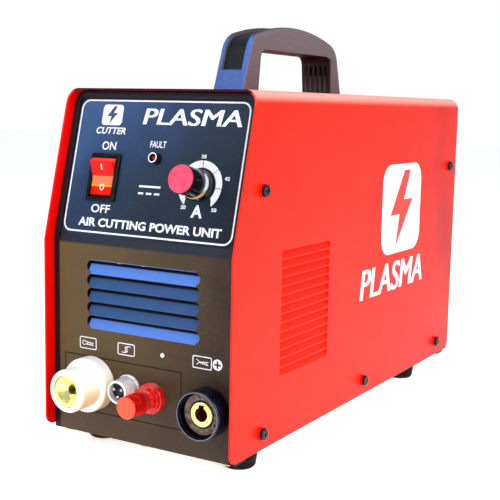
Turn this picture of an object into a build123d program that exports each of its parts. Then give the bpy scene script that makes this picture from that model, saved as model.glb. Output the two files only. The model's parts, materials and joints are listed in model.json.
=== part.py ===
from build123d import *
import os
from math import atan2, cos, degrees, pi, radians, sin, tan

# Air plasma cutter power unit. Millimetres. +X right, +Y to the rear, +Z up, seen from the front.
# Origin: centre of the whole unit's footprint, on the surface that the rubber feet stand on.
# The sockets in front reach as far as the gland behind, so it is also the centre of the case.

# ---- driving dimensions -------------------------------------------------------------------
WIDTH = 150.0            # across the cover
LENGTH = 385.0           # cover, front edge to rear edge
COVER_H = 230.5          # cover, bottom edge to top
FOOT_H = 15.0            # cover's bottom edge above the floor
SHEET = 1.2              # cover sheet
KNEE_H = 129.5           # where the cover's front edge starts to lean back, above its bottom edge
SETBACK = 25.7           # how far it has leaned back at the top
BEND_R = 9.0             # outer radius of the two long bends
CORNER_R = 7.0           # cover's lower corners, seen from the side
RECESS = 8.5             # front and rear panels behind the cover's edges
WALL = 2.5               # moulded panel wall
PANEL_DEPTH = 24.0       # panel side flange, front to back
RIM_R = 1.7              # rounding of the raised bead round the panel's face
RIM_PROUD = 1.8          # bead in front of the face
RIM_WIDE = 4.6
KNEE_DROP = 1.2          # panel's bend below the cover's
BOTTOM_DEPTH = 12.5      # panel bottom flange, front to back
PANEL_DROP = 2.5         # panels reach this far below the cover
GAP = 0.3                # clearance between panels, base and cover
BASE_T = 1.5             # chassis plate
BASE_FLANGE_H = 20.0
LOUVRE_COUNT = 14        # pressed side louvres, on each side
LOUVRE_PITCH = 6.02
LOUVRE_LONG = 71.5
LOUVRE_PRESS = 2.6       # how far a louvre's cut edge is pressed in
VENT_COUNT = 5           # moulded louvres in the front panel
VENT_PITCH = 9.33
VENT_TOP = 113.0         # middle of the highest vent above the cover's bottom edge
VENT_X = 0.3             # middle of the vents, off the panel's centre
VENT_LONG = 90.8
VENT_HIGH = 8.3
HANDLE_W = 26.0
HANDLE_H = 50.0          # above the cover
HANDLE_GROOVE = 2.6      # depth of the groove along its outer edge
PROUD = 28.7             # reach of the post's cap in front and of the mains gland behind
KNURL_TEETH = 38         # on the binding post's cap
FAN_SIZE = 92.0
FAN_DEPTH = 25.4

TOP = FOOT_H + COVER_H
Y_FRONT = -LENGTH / 2
Y_REAR = LENGTH / 2
Y_PANEL = Y_FRONT + RECESS
Y_BACK = Y_REAR - RECESS
LEAN = atan2(SETBACK, COVER_H - KNEE_H)
PANEL_KNEE = FOOT_H + KNEE_H - RECESS * tan(LEAN / 2) - KNEE_DROP
PANEL_BOTTOM = FOOT_H - PANEL_DROP
BASE_TOP = FOOT_H + BASE_T
PANEL_HALF = WIDTH / 2 - SHEET - GAP

# Working planes: z points out of the face, y points up it.
FRONT = Plane(origin=(0, Y_PANEL, FOOT_H), x_dir=(1, 0, 0), z_dir=(0, -1, 0))
SLANT = Plane(origin=(0, Y_PANEL, PANEL_KNEE), x_dir=(1, 0, 0), z_dir=(0, -cos(LEAN), sin(LEAN)))
REAR = Plane(origin=(0, Y_BACK, FOOT_H), x_dir=(-1, 0, 0), z_dir=(0, 1, 0))

# Places on the front panel's lower face, measured from the centre and the cover's bottom edge.
TORCH = (-40.2, 33.5)
PILOT = (-9.8, 34.6)
POST = (9.6, 31.3)
EARTH = (52.9, 29.4)
PLATE_X = (-64.2, 32.2)
PLATE_Z = (13.4, 51.6)
# Places on the slanted face, measured from the centre and the knee.
SWITCH = (-39.2, 45.7)
LED = (1.1, 60.0)
KNOB = (37.5, 44.5)
DECAL_HALF = 68.2
DECAL_V = (6.8, 98.8)
# Places on the rear panel, measured from the centre and the cover's bottom edge.
FAN = (0.0, 76.0)
GLAND = (-38.0, 176.0)
INLET = (34.0, 176.0)

ROCKER_TILT = 14.0       # half of the rocker's throw
KNOB_TURN = 280.0
# Cover: screws as depth and height along each side, louvres, handle.
CUP_H = 2.0              # collar under each side screw's head
CUP_R = 4.3
SIDE_SCREWS = [(-156.0, 26.6), (0.8, 26.8), (157.0, 28.0), (-159.8, 183.8), (171.5, 186.2)]
LOUVRE_Y = Y_FRONT + 95.0
LOUVRE_TOP = FOOT_H + 127.6
HANDLE_Y = -2.7
HANDLE_SCREW_Y = (-71.0, 66.0)
PANEL_SCREW_X = (-64.5, 0.0, 64.5)
PANEL_SCREW_IN = 6.0     # bottom screws behind the panel's face
RIM_KNEE = PANEL_KNEE + RIM_PROUD * tan(LEAN / 2)
# Feet, chassis plate and rear panel.
REAR_WALL = 1.5
FAN_HOLES = 82.5         # between its screws
FOOT_R = 12.8
FOOT_X = 56.5
FOOT_Y = (-151.0, 123.0)
BASE_HALF = PANEL_HALF - WALL - GAP
# Parts on the slanted face.
DECAL_T = 0.25           # printed film
DECAL_R = 6.0
SWITCH_HOLE = (11.0, 14.8)
ROCKER_R = 13.0
ROCKER_HALF = 9.0
PIN_R = 1.2
KNOB_TOP = 21.8
KNOB_BASE = 1.0
# Parts on the lower face.
PLATE_BACK = -WALL - 0.4
PILOT_PINS = [(3.3 * cos(radians(a)), 3.3 * sin(radians(a))) for a in (30, 150, 270)]
# Inside: valve and hoses, heat sinks, main board.
VALVE_Y = 120.0
VALVE_Z = FOOT_H + INLET[1]
HOSE_R = 4.3
HOSE_BORE = 2.6
HOSE_BENDS = [24, 30, 34, 24, 10]
SINK_Z = (FOOT_H + 12.0, FOOT_H + 62.0)
SINK_Y = (-60.0, 95.0)
SINK_IN = 12.0
SINK_OUT = 58.0
BOARD_Z = FOOT_H + 84.0
BOARD_X = 62.0
BOARD_Y = (-112.0, 112.0)
BOARD_T = 1.6
SINK_FEET = [(side * 35.0, y) for side in (-1, 1) for y in (-45.0, 80.0)]
STANDOFFS = [(side * 50.0, y) for side in (-1, 1) for y in (-106.0, 104.0)]
BOARD_TOP = BOARD_Z + BOARD_T


# ---- small helpers ------------------------------------------------------------------------
def block(x, y, z):
    """Box from three (low, high) pairs."""
    size = (x[1] - x[0], y[1] - y[0], z[1] - z[0])
    return Pos((x[0] + x[1]) / 2, (y[0] + y[1]) / 2, (z[0] + z[1]) / 2) * Box(*size)


def disc(r, low, high, x=0.0, y=0.0):
    """Cylinder along the local z axis."""
    return Pos(x, y, (low + high) / 2) * Cylinder(r, high - low)


def ring(r_out, r_in, low, high, x=0.0, y=0.0):
    return disc(r_out, low, high, x, y) - disc(r_in, low - 1, high + 1, x, y)


def cone(r_low, r_high, low, high, x=0.0, y=0.0):
    return Pos(x, y, (low + high) / 2) * Cone(r_low, r_high, high - low)


def hexagon(flat, low, high, x=0.0, y=0.0):
    """Hexagonal prism, flat to flat, along the local z axis."""
    outline = RegularPolygon(flat / 2, 6, major_radius=False)
    return Pos(x, y, low) * extrude(outline, high - low)


def nut(flat, hole_r, low, high, x=0.0, y=0.0):
    return hexagon(flat, low, high, x, y) - disc(hole_r, low - 1, high + 1, x, y)


def pan_screw(head_r, head_h, shank_r, shank_len):
    """Pan-head cross-recess screw: head above z = 0, shank below."""
    head = fillet(disc(head_r, 0, head_h).edges().group_by(Axis.Z)[-1], head_h * 0.45)
    cross = block((-head_r * 0.6, head_r * 0.6), (-0.45, 0.45), (head_h * 0.4, head_h + 1))
    cross += block((-0.45, 0.45), (-head_r * 0.6, head_r * 0.6), (head_h * 0.4, head_h + 1))
    return head + disc(shank_r, -shank_len, 0.01) - cross


def to_side(side, y, z, out=WIDTH / 2):
    """Location on the case's side wall, z pointing out of it."""
    return Plane(origin=(side * out, y, z), x_dir=(0, side, 0), z_dir=(side, 0, 0)).location


def save(name, shape):
    solids = shape.solids()
    body = solids[0] if len(solids) == 1 else Compound(solids)
    body.label = name
    export_step(body, f"parts/{name}.step")


def group(items):
    return Compound([solid for item in items for solid in item.solids()])


# ---- case ---------------------------------------------------------------------------------
def arch(inset, y_low, y_high, bottom):
    """Prism along Y under the cover's outer shape, drawn in by inset."""
    half = WIDTH / 2 - inset
    top = TOP - inset
    r = BEND_R - inset
    body = block((-half, half), (y_low, y_high), (bottom, top))
    upper = body.edges().filter_by(Axis.Y).group_by(Axis.Z)[-1]
    return fillet(upper, r) if r > 0.2 else body


def side_outline(front, rear, bottom, knee, top, lean_back):
    """Case profile seen from the side, on the YZ plane."""
    points = [(front, bottom), (front, knee), (front + lean_back, top), (rear, top), (rear, bottom)]
    return make_face(Plane.YZ * Polyline(*points, close=True))


def behind_face(front, bottom, knee):
    """Everything behind a face that rises to the knee and then leans back."""
    lean_back = (TOP + 5 - knee) * tan(LEAN)
    return extrude(side_outline(front, Y_REAR, bottom, knee, TOP + 5, lean_back), WIDTH, both=True)


def louvre_cut(side, top):
    low = top - LOUVRE_PITCH + 1.0
    x = sorted((side * (WIDTH / 2 - 3), side * (WIDTH / 2 + 1)))
    y = (LOUVRE_Y - LOUVRE_LONG / 2, LOUVRE_Y + LOUVRE_LONG / 2)
    return block(x, y, (low, top))


def louvre_blade(side, top):
    """Blade that leans inwards from the sheet up to its cut edge, with closed ends."""
    outer = side * WIDTH / 2
    low = top - LOUVRE_PITCH + 1.0
    press = side * LOUVRE_PRESS
    sheet = side * SHEET
    points = [(outer, low), (outer - press, top - 0.5), (outer - press - sheet, top - 0.5), (outer - sheet, low)]
    blade = extrude(make_face(Plane.XZ * Polyline(*points, close=True)), LOUVRE_LONG / 2, both=True)
    corner = [(outer - 0.05 * side, low), (outer - 0.05 * side, top), (outer - press - sheet, top),
              (outer - press - sheet, top - 0.6), (outer - sheet, low)]
    end = extrude(make_face(Plane.XZ * Polyline(*corner, close=True)), 0.5, both=True)
    reach = LOUVRE_LONG / 2 - 0.5
    blade += Pos(0, reach, 0) * end + Pos(0, -reach, 0) * end
    return Pos(0, LOUVRE_Y, 0) * blade


def make_cover():
    shell = arch(0, Y_FRONT, Y_REAR, FOOT_H) - arch(SHEET, Y_FRONT - 1, Y_REAR + 1, FOOT_H - 1)
    profile = behind_face(Y_FRONT, FOOT_H, FOOT_H + KNEE_H)
    profile = fillet(profile.edges().filter_by(Axis.X).group_by(Axis.Z)[0], CORNER_R)
    cover = shell & profile
    for side in (-1, 1):
        for y, z in SIDE_SCREWS:
            cover -= to_side(side, y, z) * disc(2.2, -3, 3)
        tops = [LOUVRE_TOP - i * LOUVRE_PITCH for i in range(LOUVRE_COUNT)]
        cover -= [louvre_cut(side, top) for top in tops]
        for top in tops:
            cover += louvre_blade(side, top)
    cover -= [disc(3.3, TOP - 4, TOP + 2, 0, y) for y in HANDLE_SCREW_Y]
    return cover


def front_rim(edge, inset):
    """True for an edge round the front of the panel's bead, but not along its bottom."""
    middle = edge.center()
    lean = max(0.0, middle.Z - RIM_KNEE) * tan(LEAN)
    if abs(middle.Y - Y_PANEL + RIM_PROUD - lean) > 0.6 or middle.Z < PANEL_BOTTOM + 1:
        return False
    return abs(middle.X) > WIDTH / 2 - inset - BEND_R or middle.Z > TOP - inset - 1


def panel_shell():
    """Tray-shaped moulding, open at the back, under the arch of the cover."""
    outer = arch(SHEET + GAP, Y_PANEL, Y_PANEL + 80, PANEL_BOTTOM)
    outer &= behind_face(Y_PANEL - RIM_PROUD, PANEL_BOTTOM, RIM_KNEE)
    rim = [e for e in outer.edges() if front_rim(e, SHEET + GAP)]
    outer = fillet(rim, RIM_R)
    well = arch(SHEET + GAP + RIM_WIDE, Y_PANEL - 9, Y_PANEL + 80, PANEL_BOTTOM - 9)
    outer -= well - behind_face(Y_PANEL, PANEL_BOTTOM - 10, PANEL_KNEE)
    outer -= behind_face(Y_PANEL + PANEL_DEPTH, PANEL_BOTTOM - 1, PANEL_KNEE)
    inner = arch(SHEET + GAP + WALL, Y_PANEL, Y_PANEL + 90, PANEL_BOTTOM + WALL)
    inner &= behind_face(Y_PANEL + WALL, PANEL_BOTTOM, PANEL_KNEE - WALL * tan(LEAN / 2))
    return outer - inner - block((-WIDTH, WIDTH), (Y_PANEL + BOTTOM_DEPTH, 0), (0, FOOT_H))


def slot(long, high, low, top, x, y):
    return Pos(x, y, low) * extrude(SlotOverall(long, high), top - low)


def switch_hole(low, top):
    wide, high = SWITCH_HOLE
    return Pos(*SWITCH, 0) * block((-wide, wide), (-high, high), (low, top))


def vent_blade(y):
    """Blade rising inwards behind one vent slot."""
    half = VENT_HIGH / 2
    points = [(half - 1.2, -WALL - 1.6), (half - 1.2, -WALL - 3.0), (-half - 0.2, -WALL + 0.6), (-half - 0.2, -0.2)]
    blade = extrude(make_face(Plane.YZ * Polyline(*points, close=True)), VENT_LONG / 2 - 0.6, both=True)
    return Pos(VENT_X, y, 0) * blade


def make_front_panel():
    panel = panel_shell()
    heights = [VENT_TOP - i * VENT_PITCH for i in range(VENT_COUNT)]
    on_front = [slot(VENT_LONG, VENT_HIGH, -WALL - 1, 1, VENT_X, y) for y in heights]
    on_front.append(block((PLATE_X[0] + 3, PLATE_X[1] - 3), (PLATE_Z[0] + 3, PLATE_Z[1] - 3), (-WALL - 1, 1)))
    on_front.append(block(PLATE_X, PLATE_Z, (-1.0, 1)))
    on_front.append(disc(13.3, -WALL - 1, 1, *EARTH))
    panel -= [FRONT.location * cut for cut in on_front]
    panel += [FRONT.location * vent_blade(y) for y in heights]
    on_slant = [switch_hole(-WALL - 1, 1)]
    on_slant.append(disc(2.6, -WALL - 1, 1, *LED))
    on_slant.append(disc(3.7, -WALL - 1, 1, *KNOB))
    panel -= [SLANT.location * cut for cut in on_slant]
    for side in (-1, 1):
        y, z = SIDE_SCREWS[3]
        panel -= to_side(side, y, z) * disc(1.7, -8, 3)
    panel -= [disc(2.1, PANEL_BOTTOM - 1, BASE_TOP, x, Y_PANEL + PANEL_SCREW_IN) for x in PANEL_SCREW_X]
    return panel


def make_rear_panel():
    y_in = Y_BACK - PANEL_DEPTH
    wall = REAR_WALL
    outer = arch(SHEET + GAP, y_in, Y_BACK, PANEL_BOTTOM)
    inner = arch(SHEET + GAP + wall, y_in - 1, Y_BACK - wall, PANEL_BOTTOM + WALL)
    panel = outer - inner - block((-WIDTH, WIDTH), (0, Y_BACK - BOTTOM_DEPTH), (0, FOOT_H))
    shelf_x = -INLET[0]
    panel += block((shelf_x - 8, shelf_x + 8), (VALVE_Y - 12, Y_BACK - wall), (VALVE_Z + 12.2, VALVE_Z + 13.4))
    cuts = [disc(FAN_SIZE / 2 - 3, -wall - 1, 1, *FAN)]
    spots = [(FAN[0] + i * FAN_HOLES / 2, FAN[1] + j * FAN_HOLES / 2) for i in (-1, 1) for j in (-1, 1)]
    cuts += [disc(2.2, -wall - 1, 1, *spot) for spot in spots]
    cuts += [disc(8.2, -wall - 1, 1, *GLAND), disc(6.7, -wall - 1, 1, *INLET)]
    panel -= [REAR.location * cut for cut in cuts]
    for side in (-1, 1):
        y, z = SIDE_SCREWS[4]
        panel -= to_side(side, y, z) * disc(1.7, -8, 3)
    panel -= [disc(2.1, PANEL_BOTTOM - 1, BASE_TOP, x, Y_BACK - PANEL_SCREW_IN) for x in PANEL_SCREW_X]
    return panel


def make_base():
    """Chassis plate with upturned side flanges between the two panels."""
    y_end = -Y_PANEL - WALL - GAP
    flange_y = Y_PANEL + PANEL_DEPTH + GAP
    plate = block((-BASE_HALF, BASE_HALF), (-y_end, y_end), (FOOT_H, BASE_TOP))
    plate += block((-PANEL_HALF, PANEL_HALF), (flange_y, -flange_y), (FOOT_H, BASE_TOP))
    for side in (-1, 1):
        x = sorted((side * PANEL_HALF, side * (PANEL_HALF - SHEET)))
        plate += block(x, (flange_y, -flange_y), (FOOT_H, FOOT_H + BASE_FLANGE_H))
        for y, z in SIDE_SCREWS[:3]:
            plate -= to_side(side, y, z) * disc(1.7, -4, 3)
    for x in PANEL_SCREW_X:
        for y in (Y_PANEL + PANEL_SCREW_IN, Y_BACK - PANEL_SCREW_IN):
            plate -= disc(1.7, FOOT_H - 1, BASE_TOP + 1, x, y)
    for x in (-FOOT_X, FOOT_X):
        plate -= [disc(2.6, FOOT_H - 1, BASE_TOP + 1, x, y) for y in FOOT_Y]
    for x, y in SINK_FEET:
        plate -= disc(2.1, FOOT_H - 1, BASE_TOP + 1, x, y)
    return plate


def make_side_screws():
    """Pan-head screws, each on a tall collar."""
    screws = []
    for side in (-1, 1):
        for y, z in SIDE_SCREWS:
            cup = disc(CUP_R, 0, CUP_H) + Pos(0, 0, CUP_H) * pan_screw(4.0, 2.2, 1.65, CUP_H + 9.0)
            screws.append(to_side(side, y, z) * cup)
    return group(screws)


def make_panel_screws():
    """Zinc screws up through each panel's bottom flange into the chassis plate."""
    screw = Rot(180, 0, 0) * pan_screw(3.7, 2.2, 1.6, 7.0)
    ys = (Y_PANEL + PANEL_SCREW_IN, Y_BACK - PANEL_SCREW_IN)
    return group([Pos(x, y, PANEL_BOTTOM) * screw for x in PANEL_SCREW_X for y in ys])


def make_foot(x, y):
    """Domed rubber bumper with a countersunk bore for its screw."""
    dome = Rot(180, 0, 0) * cone(FOOT_R, FOOT_R - 2.0, 0, FOOT_H)
    dome = fillet(dome.edges().group_by(Axis.Z)[0], 3.2)
    dome -= disc(2.6, -FOOT_H - 1, 1) + disc(4.6, -FOOT_H - 1, -8.0)
    return Pos(x, y, FOOT_H) * dome


def make_foot_screws():
    """Screw with nut for each foot, its head up inside the foot."""
    screw = disc(4.2, -10.8, -8.0) + disc(2.4, -8.1, 5.0) - hexagon(3.0, -11, -9.2)
    items = []
    for x in (-FOOT_X, FOOT_X):
        for y in FOOT_Y:
            items.append(Pos(x, y, FOOT_H) * screw)
            items.append(Pos(x, y, BASE_TOP) * nut(8.0, 2.4, 0.0, 3.2))
    return items


# ---- handle -------------------------------------------------------------------------------
def handle_face(outset):
    """Outer outline of the handle on the YZ plane, moved in by outset where it is negative."""
    front = [(-81.6, 0), (-67.1, 40.2)]
    apex = (-1.3, HANDLE_H)
    rear = [(68.7, 38.5), (79.8, 0)]
    outline = Line(front[0], front[1]) + ThreePointArc(front[1], apex, rear[0])
    outline += Line(rear[0], rear[1]) + Line(rear[1], front[0])
    face = make_face(Plane.XY * outline)
    face = fillet(face.vertices().group_by(Axis.Y)[1:], 19.0)
    return offset(face, outset) if outset else face


def grip_hole():
    """Finger opening outline."""
    points = [(-59.2, -1), (-55.4, 31.2), (55.0, 31.2), (58.4, -1)]
    face = make_face(Plane.XY * Polyline(*points, close=True))
    return fillet(face.vertices().group_by(Axis.Y)[-1], 7.0)


def make_handle():
    outer = extrude(Plane.YZ * handle_face(0), HANDLE_W / 2, both=True)
    long_edges = [e for e in outer.edges() if abs(abs(e.center().X) - HANDLE_W / 2) < 0.01 and e.center().Z > 1]
    outer = fillet(long_edges, 3.5)
    body = outer - extrude(Plane.YZ * grip_hole(), HANDLE_W, both=True)
    groove = extrude(Plane.YZ * handle_face(0), 8.6, both=True)
    groove -= extrude(Plane.YZ * handle_face(-HANDLE_GROOVE), 10.0, both=True)
    body -= groove & block((-10, 10), (-100, 100), (15.5, 80))
    flutes = [disc(1.5, 3.0, 28.0, x, y) for x in (-9, -4.5, 0, 4.5, 9) for y in (-57.4, 57.2)]
    body -= flutes
    body = Pos(0, HANDLE_Y, TOP) * body
    body -= [disc(2.6, TOP - 1, TOP + 18, 0, y) for y in HANDLE_SCREW_Y]
    return body


def make_handle_screws():
    """M6 screws with washers, up from inside the cover into the handle's legs."""
    items = []
    under = TOP - SHEET
    for y in HANDLE_SCREW_Y:
        head = hexagon(10.0, under - 5.6, under - 1.6, 0, y) + disc(2.6, under - 1.7, TOP + 16, 0, y)
        items.append(head)
        items.append(ring(7.0, 3.2, under - 1.5, under, 0, y))
    return items


# ---- controls on the slanted face ---------------------------------------------------------
def make_decal():
    width = 2 * DECAL_HALF
    height = DECAL_V[1] - DECAL_V[0]
    sheet = extrude(RectangleRounded(width, height, DECAL_R), DECAL_T)
    sheet = Pos(0, (DECAL_V[0] + DECAL_V[1]) / 2, 0) * sheet
    sheet -= switch_hole(-1, 1)
    sheet -= disc(2.6, -1, 1, *LED) + disc(3.7, -1, 1, *KNOB)
    return SLANT.location * sheet


def make_switch_housing():
    bezel = extrude(RectangleRounded(24.0, 32.0, 1.2), 2.4)
    bezel = Pos(0, 0, DECAL_T) * chamfer(bezel.edges().group_by(Axis.Z)[-1], 0.8)
    body = block((-10.7, 10.7), (-14.5, 14.5), (-21, DECAL_T))
    housing = bezel + body
    housing -= block((-ROCKER_HALF - 0.3, ROCKER_HALF + 0.3), (-13.5, 13.5), (-16, 5))
    housing -= Rot(0, 90, 0) * disc(PIN_R + 0.05, -10.3, 10.3)
    return SLANT.location * Pos(*SWITCH, 0) * housing


def make_rocker():
    """Red rocker, stored with its lower half pressed."""
    body = Rot(0, 90, 0) * Cylinder(ROCKER_R, 2 * ROCKER_HALF)
    crest = 11.2
    crest_h = 1.2 + crest * tan(radians(ROCKER_TILT))
    points = [(-13.0, crest_h - 3.6), (-crest, crest_h), (0, 1.2), (crest, crest_h), (13.0, crest_h - 3.6)]
    points += [(13.0, -3.5), (-13.0, -3.5)]
    body &= extrude(make_face(Plane.YZ * Polyline(*points, close=True)), 20, both=True)
    tall = [(-11.6, -3.5), (11.6, -3.5), (4.0, -9.0), (-4.0, -9.0)]
    body += extrude(make_face(Plane.YZ * Polyline(*tall, close=True)), ROCKER_HALF - 2, both=True)
    body += Rot(0, 90, 0) * Cylinder(PIN_R, 2 * ROCKER_HALF + 2.0)
    return SLANT.location * Pos(*SWITCH, 0) * Rot(ROCKER_TILT, 0, 0) * body


def make_switch_tabs():
    tabs = [block((x - 0.4, x + 0.4), (y - 3.1, y + 3.1), (-30, -21)) for x in (-5.5, 5.5) for y in (-9, 0, 9)]
    return group([SLANT.location * Pos(*SWITCH, 0) * tab for tab in tabs])


def make_led_bezel():
    body = cone(3.9, 3.3, DECAL_T, 5.2) + disc(2.5, -7.0, DECAL_T)
    body -= cone(1.6, 2.7, 3.2, 5.3) + disc(1.6, -8, 3.3)
    body += nut(7.0, 2.4, -WALL - 2.2, -WALL)
    return SLANT.location * Pos(*LED, 0) * body


def make_led_lens():
    lens = disc(1.5, -6.0, 2.6)
    lens += Pos(0, 0, 2.6) * Sphere(1.5)
    leads = [block((x - 0.25, x + 0.25), (-0.25, 0.25), (-16, -6)) for x in (-0.9, 0.9)]
    for lead in leads:
        lens += lead
    return SLANT.location * Pos(*LED, 0) * lens


def make_knob():
    """Black knob with a flared skirt, a pointer rib and a socket for the shaft."""
    body = cone(10.4, 9.4, KNOB_BASE, 5.0) + disc(9.2, 4.9, KNOB_TOP)
    body = fillet(body.edges().group_by(Axis.Z)[0], 0.5)
    body += block((-0.8, 0.8), (9.0, 11.6), (KNOB_BASE, 3.6))
    body -= disc(3.0, 0, 13.0) + disc(7.6, 0, 3.2)
    body -= disc(8.1, KNOB_TOP - 1.4, KNOB_TOP + 1)
    return SLANT.location * Pos(*KNOB, 0) * Rot(0, 0, KNOB_TURN / 2) * body


def make_knob_cap():
    """Coloured cap let into the knob's top."""
    cap = disc(8.1, KNOB_TOP - 1.4, KNOB_TOP + 0.1) + disc(8.7, KNOB_TOP, KNOB_TOP + 1.7)
    cap = fillet(cap.edges().group_by(Axis.Z)[-1], 0.7)
    return SLANT.location * Pos(*KNOB, 0) * cap


def make_pot_shaft():
    """Shaft with a wiper disc on its inner end."""
    shaft = disc(3.0, -7.0, 12.5) + disc(6.0, -9.0, -7.0)
    return SLANT.location * Pos(*KNOB, 0) * shaft


def make_pot_body():
    body = ring(3.5, 3.05, -6.6, 2.7) + ring(12.0, 3.05, -6.6, -WALL)
    body += ring(12.0, 10.8, -12.0, -6.5) + disc(12.0, -13.0, -11.9)
    for x in (-5, 0, 5):
        body += block((x - 1, x + 1), (-18.0, -9.0), (-12.9, -12.1))
    return SLANT.location * Pos(*KNOB, 0) * body


def make_pot_nut():
    lock = nut(10.0, 3.55, DECAL_T, DECAL_T + 2.0)
    return SLANT.location * Pos(*KNOB, 0) * lock


# ---- connectors on the lower face ---------------------------------------------------------
def make_connector_plate():
    """Inset plate that carries the torch, pilot and post connectors."""
    width = PLATE_X[1] - PLATE_X[0] - 0.6
    height = PLATE_Z[1] - PLATE_Z[0] - 0.6
    centre = ((PLATE_X[0] + PLATE_X[1]) / 2, (PLATE_Z[0] + PLATE_Z[1]) / 2)
    plate = block((-width / 2, width / 2), (-height / 2, height / 2), (-0.95, 0.0))
    plate += block((-width / 2 + 3.2, width / 2 - 3.2), (-height / 2 + 3.2, height / 2 - 3.2), (-4.0, -0.9))
    plate = Pos(*centre, 0) * plate
    plate -= disc(11.2, -6, 1, *TORCH) + disc(7.0, -6, 1, *PILOT) + disc(3.4, -6, 1, *POST)
    return FRONT.location * plate


def make_torch_body():
    """Insulating torch adaptor: rear flange, round nose and a threaded tail."""
    flange = fillet(disc(18.4, 0, 9.8).edges().group_by(Axis.Z)[-1], 2.0)
    nose = fillet(disc(14.4, 9.7, 27.4).edges().group_by(Axis.Z)[-1], 2.4)
    body = flange + nose + disc(11.0, -16.0, 0)
    body -= disc(10.8, 12.0, 28) + disc(6.05, -17, 28)
    return FRONT.location * Pos(*TORCH, 0) * body


def make_torch_insert():
    """Brass union: coned mouth, gas and current bore, tail for the hose and the power lug."""
    body = fillet(disc(10.75, 12.0, 26.2).edges().group_by(Axis.Z)[-1], 0.6)
    body += disc(6.0, -30.0, 12.1)
    body -= cone(3.1, 8.4, 21.3, 26.3) + disc(3.1, 4.0, 21.4) + disc(2.0, -31, 5)
    return FRONT.location * Pos(*TORCH, 0) * body


def make_torch_nut():
    lock = nut(27.0, 11.05, -9.0, -4.0)
    return FRONT.location * Pos(*TORCH, 0) * lock


def make_torch_lug():
    """Copper strap clamped on the brass tail by its nut."""
    strap = ring(10.0, 6.05, -19.0, -16.5) + block((7, 26), (-6, 6), (-19.0, -16.5))
    strap += nut(19.0, 6.05, -24.0, -19.0)
    return FRONT.location * Pos(*TORCH, 0) * strap


def make_pilot_shell():
    """Chromed shell of the 3-pin socket with its flange and rear thread."""
    shell = cone(8.7, 7.7, 1.4, 13.0)
    shell = fillet(shell.edges().group_by(Axis.Z)[-1], 0.6)
    shell += fillet(disc(9.3, 0, 1.6).edges().group_by(Axis.Z)[-1], 0.6) + disc(6.9, -8.0, 0)
    shell -= disc(6.3, 4.0, 14.0) + disc(5.6, -9, 5)
    return FRONT.location * Pos(*PILOT, 0) * shell


def make_pilot_insert():
    core = disc(6.3, 4.0, 9.0) + disc(5.6, -9.0, 4.1)
    core += Pos(0, 5.7, 9.5) * Box(1.6, 1.0, 3.0)
    core -= [disc(1.05, -10, 10, *pin) for pin in PILOT_PINS]
    return FRONT.location * Pos(*PILOT, 0) * core


def make_pilot_pins():
    pins = []
    for pin in PILOT_PINS:
        body = disc(1.0, -14.0, 11.6, *pin) + Pos(*pin, 11.6) * Sphere(1.0)
        pins.append(FRONT.location * Pos(*PILOT, 0) * body)
    return group(pins)


def make_pilot_nut():
    lock = ring(9.5, 6.95, -6.6, -4.0)
    return FRONT.location * Pos(*PILOT, 0) * lock


def make_post_base():
    """Red insulating flange of the binding post, one piece with its shoulder."""
    body = fillet(disc(10.1, 0, 4.6).edges().group_by(Axis.Z)[-1], 0.9)
    body += fillet(disc(9.0, 4.5, 6.8).edges().group_by(Axis.Z)[-1], 0.5)
    body += cone(6.4, 5.6, 6.7, 9.0) + disc(3.3, -4.0, 0)
    body -= disc(2.05, -5, 10)
    return FRONT.location * Pos(*POST, 0) * body


def make_post_stud():
    """Nickel-plated stud with a collar in front of the flange."""
    stud = disc(2.0, -22.0, 25.0) + disc(4.6, 9.0, 10.4)
    return FRONT.location * Pos(*POST, 0) * stud


def make_post_washer():
    """Captive washer that travels with the cap without turning."""
    return FRONT.location * Pos(*POST, 0) * ring(5.6, 2.06, 10.7, 11.9)


def make_post_cap():
    """Knurled screw cap of the binding post."""
    cap = disc(7.3, 14.4, PROUD)
    cap = fillet(cap.edges().group_by(Axis.Z)[-1], 1.0)
    step = 2 * pi / KNURL_TEETH
    cap -= [disc(0.42, 14.0, 27.4, 7.4 * cos(i * step), 7.4 * sin(i * step)) for i in range(KNURL_TEETH)]
    cap += disc(5.2, 12.2, 14.5)
    cap -= disc(2.06, 10, 25.6)
    return FRONT.location * Pos(*POST, 0) * cap


def make_post_nuts():
    nuts = [nut(8.0, 2.05, -7.4, -4.2), nut(8.0, 2.05, -15.2, -12.0)]
    tag = ring(5.0, 2.1, -11.8, -10.8) + block((-3, 3), (4.5, 16), (-11.8, -10.8))
    return group([FRONT.location * Pos(*POST, 0) * item for item in nuts + [tag]])


def make_earth_shell():
    """Black insulating housing of the work-lead socket."""
    shell = fillet(disc(16.2, 0, 12.9).edges().group_by(Axis.Z)[-1], 1.2)
    shell += disc(13.0, -10.0, 0)
    shell -= disc(14.7, 4.6, 14) + disc(11.0, -11, 7)
    return FRONT.location * Pos(*EARTH, 0) * shell


def make_earth_insulator():
    """Grey inner ring, notched at three places, that grips the brass contact."""
    core = disc(13.2, 4.6, 7.0) + disc(10.9, -10.0, 4.7)
    core -= disc(8.15, -11, 9) + disc(8.9, 5.4, 9)
    core -= [disc(1.2, 6.0, 9, 11.4 * cos(radians(a)), 11.4 * sin(radians(a))) for a in (100, 215, 330)]
    return FRONT.location * Pos(*EARTH, 0) * core


def make_earth_contact():
    """Brass contact with a keyed bore for a twist-lock plug."""
    body = fillet(disc(8.1, -10.0, 8.0).edges().group_by(Axis.Z)[-1], 0.5) + disc(5.0, -24.0, -9.9)
    bore = disc(4.6, -6.0, 11) + block((-2.0, 2.0), (0, 6.2), (-6.0, 11))
    return FRONT.location * Pos(*EARTH, 0) * (body - bore)


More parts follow.
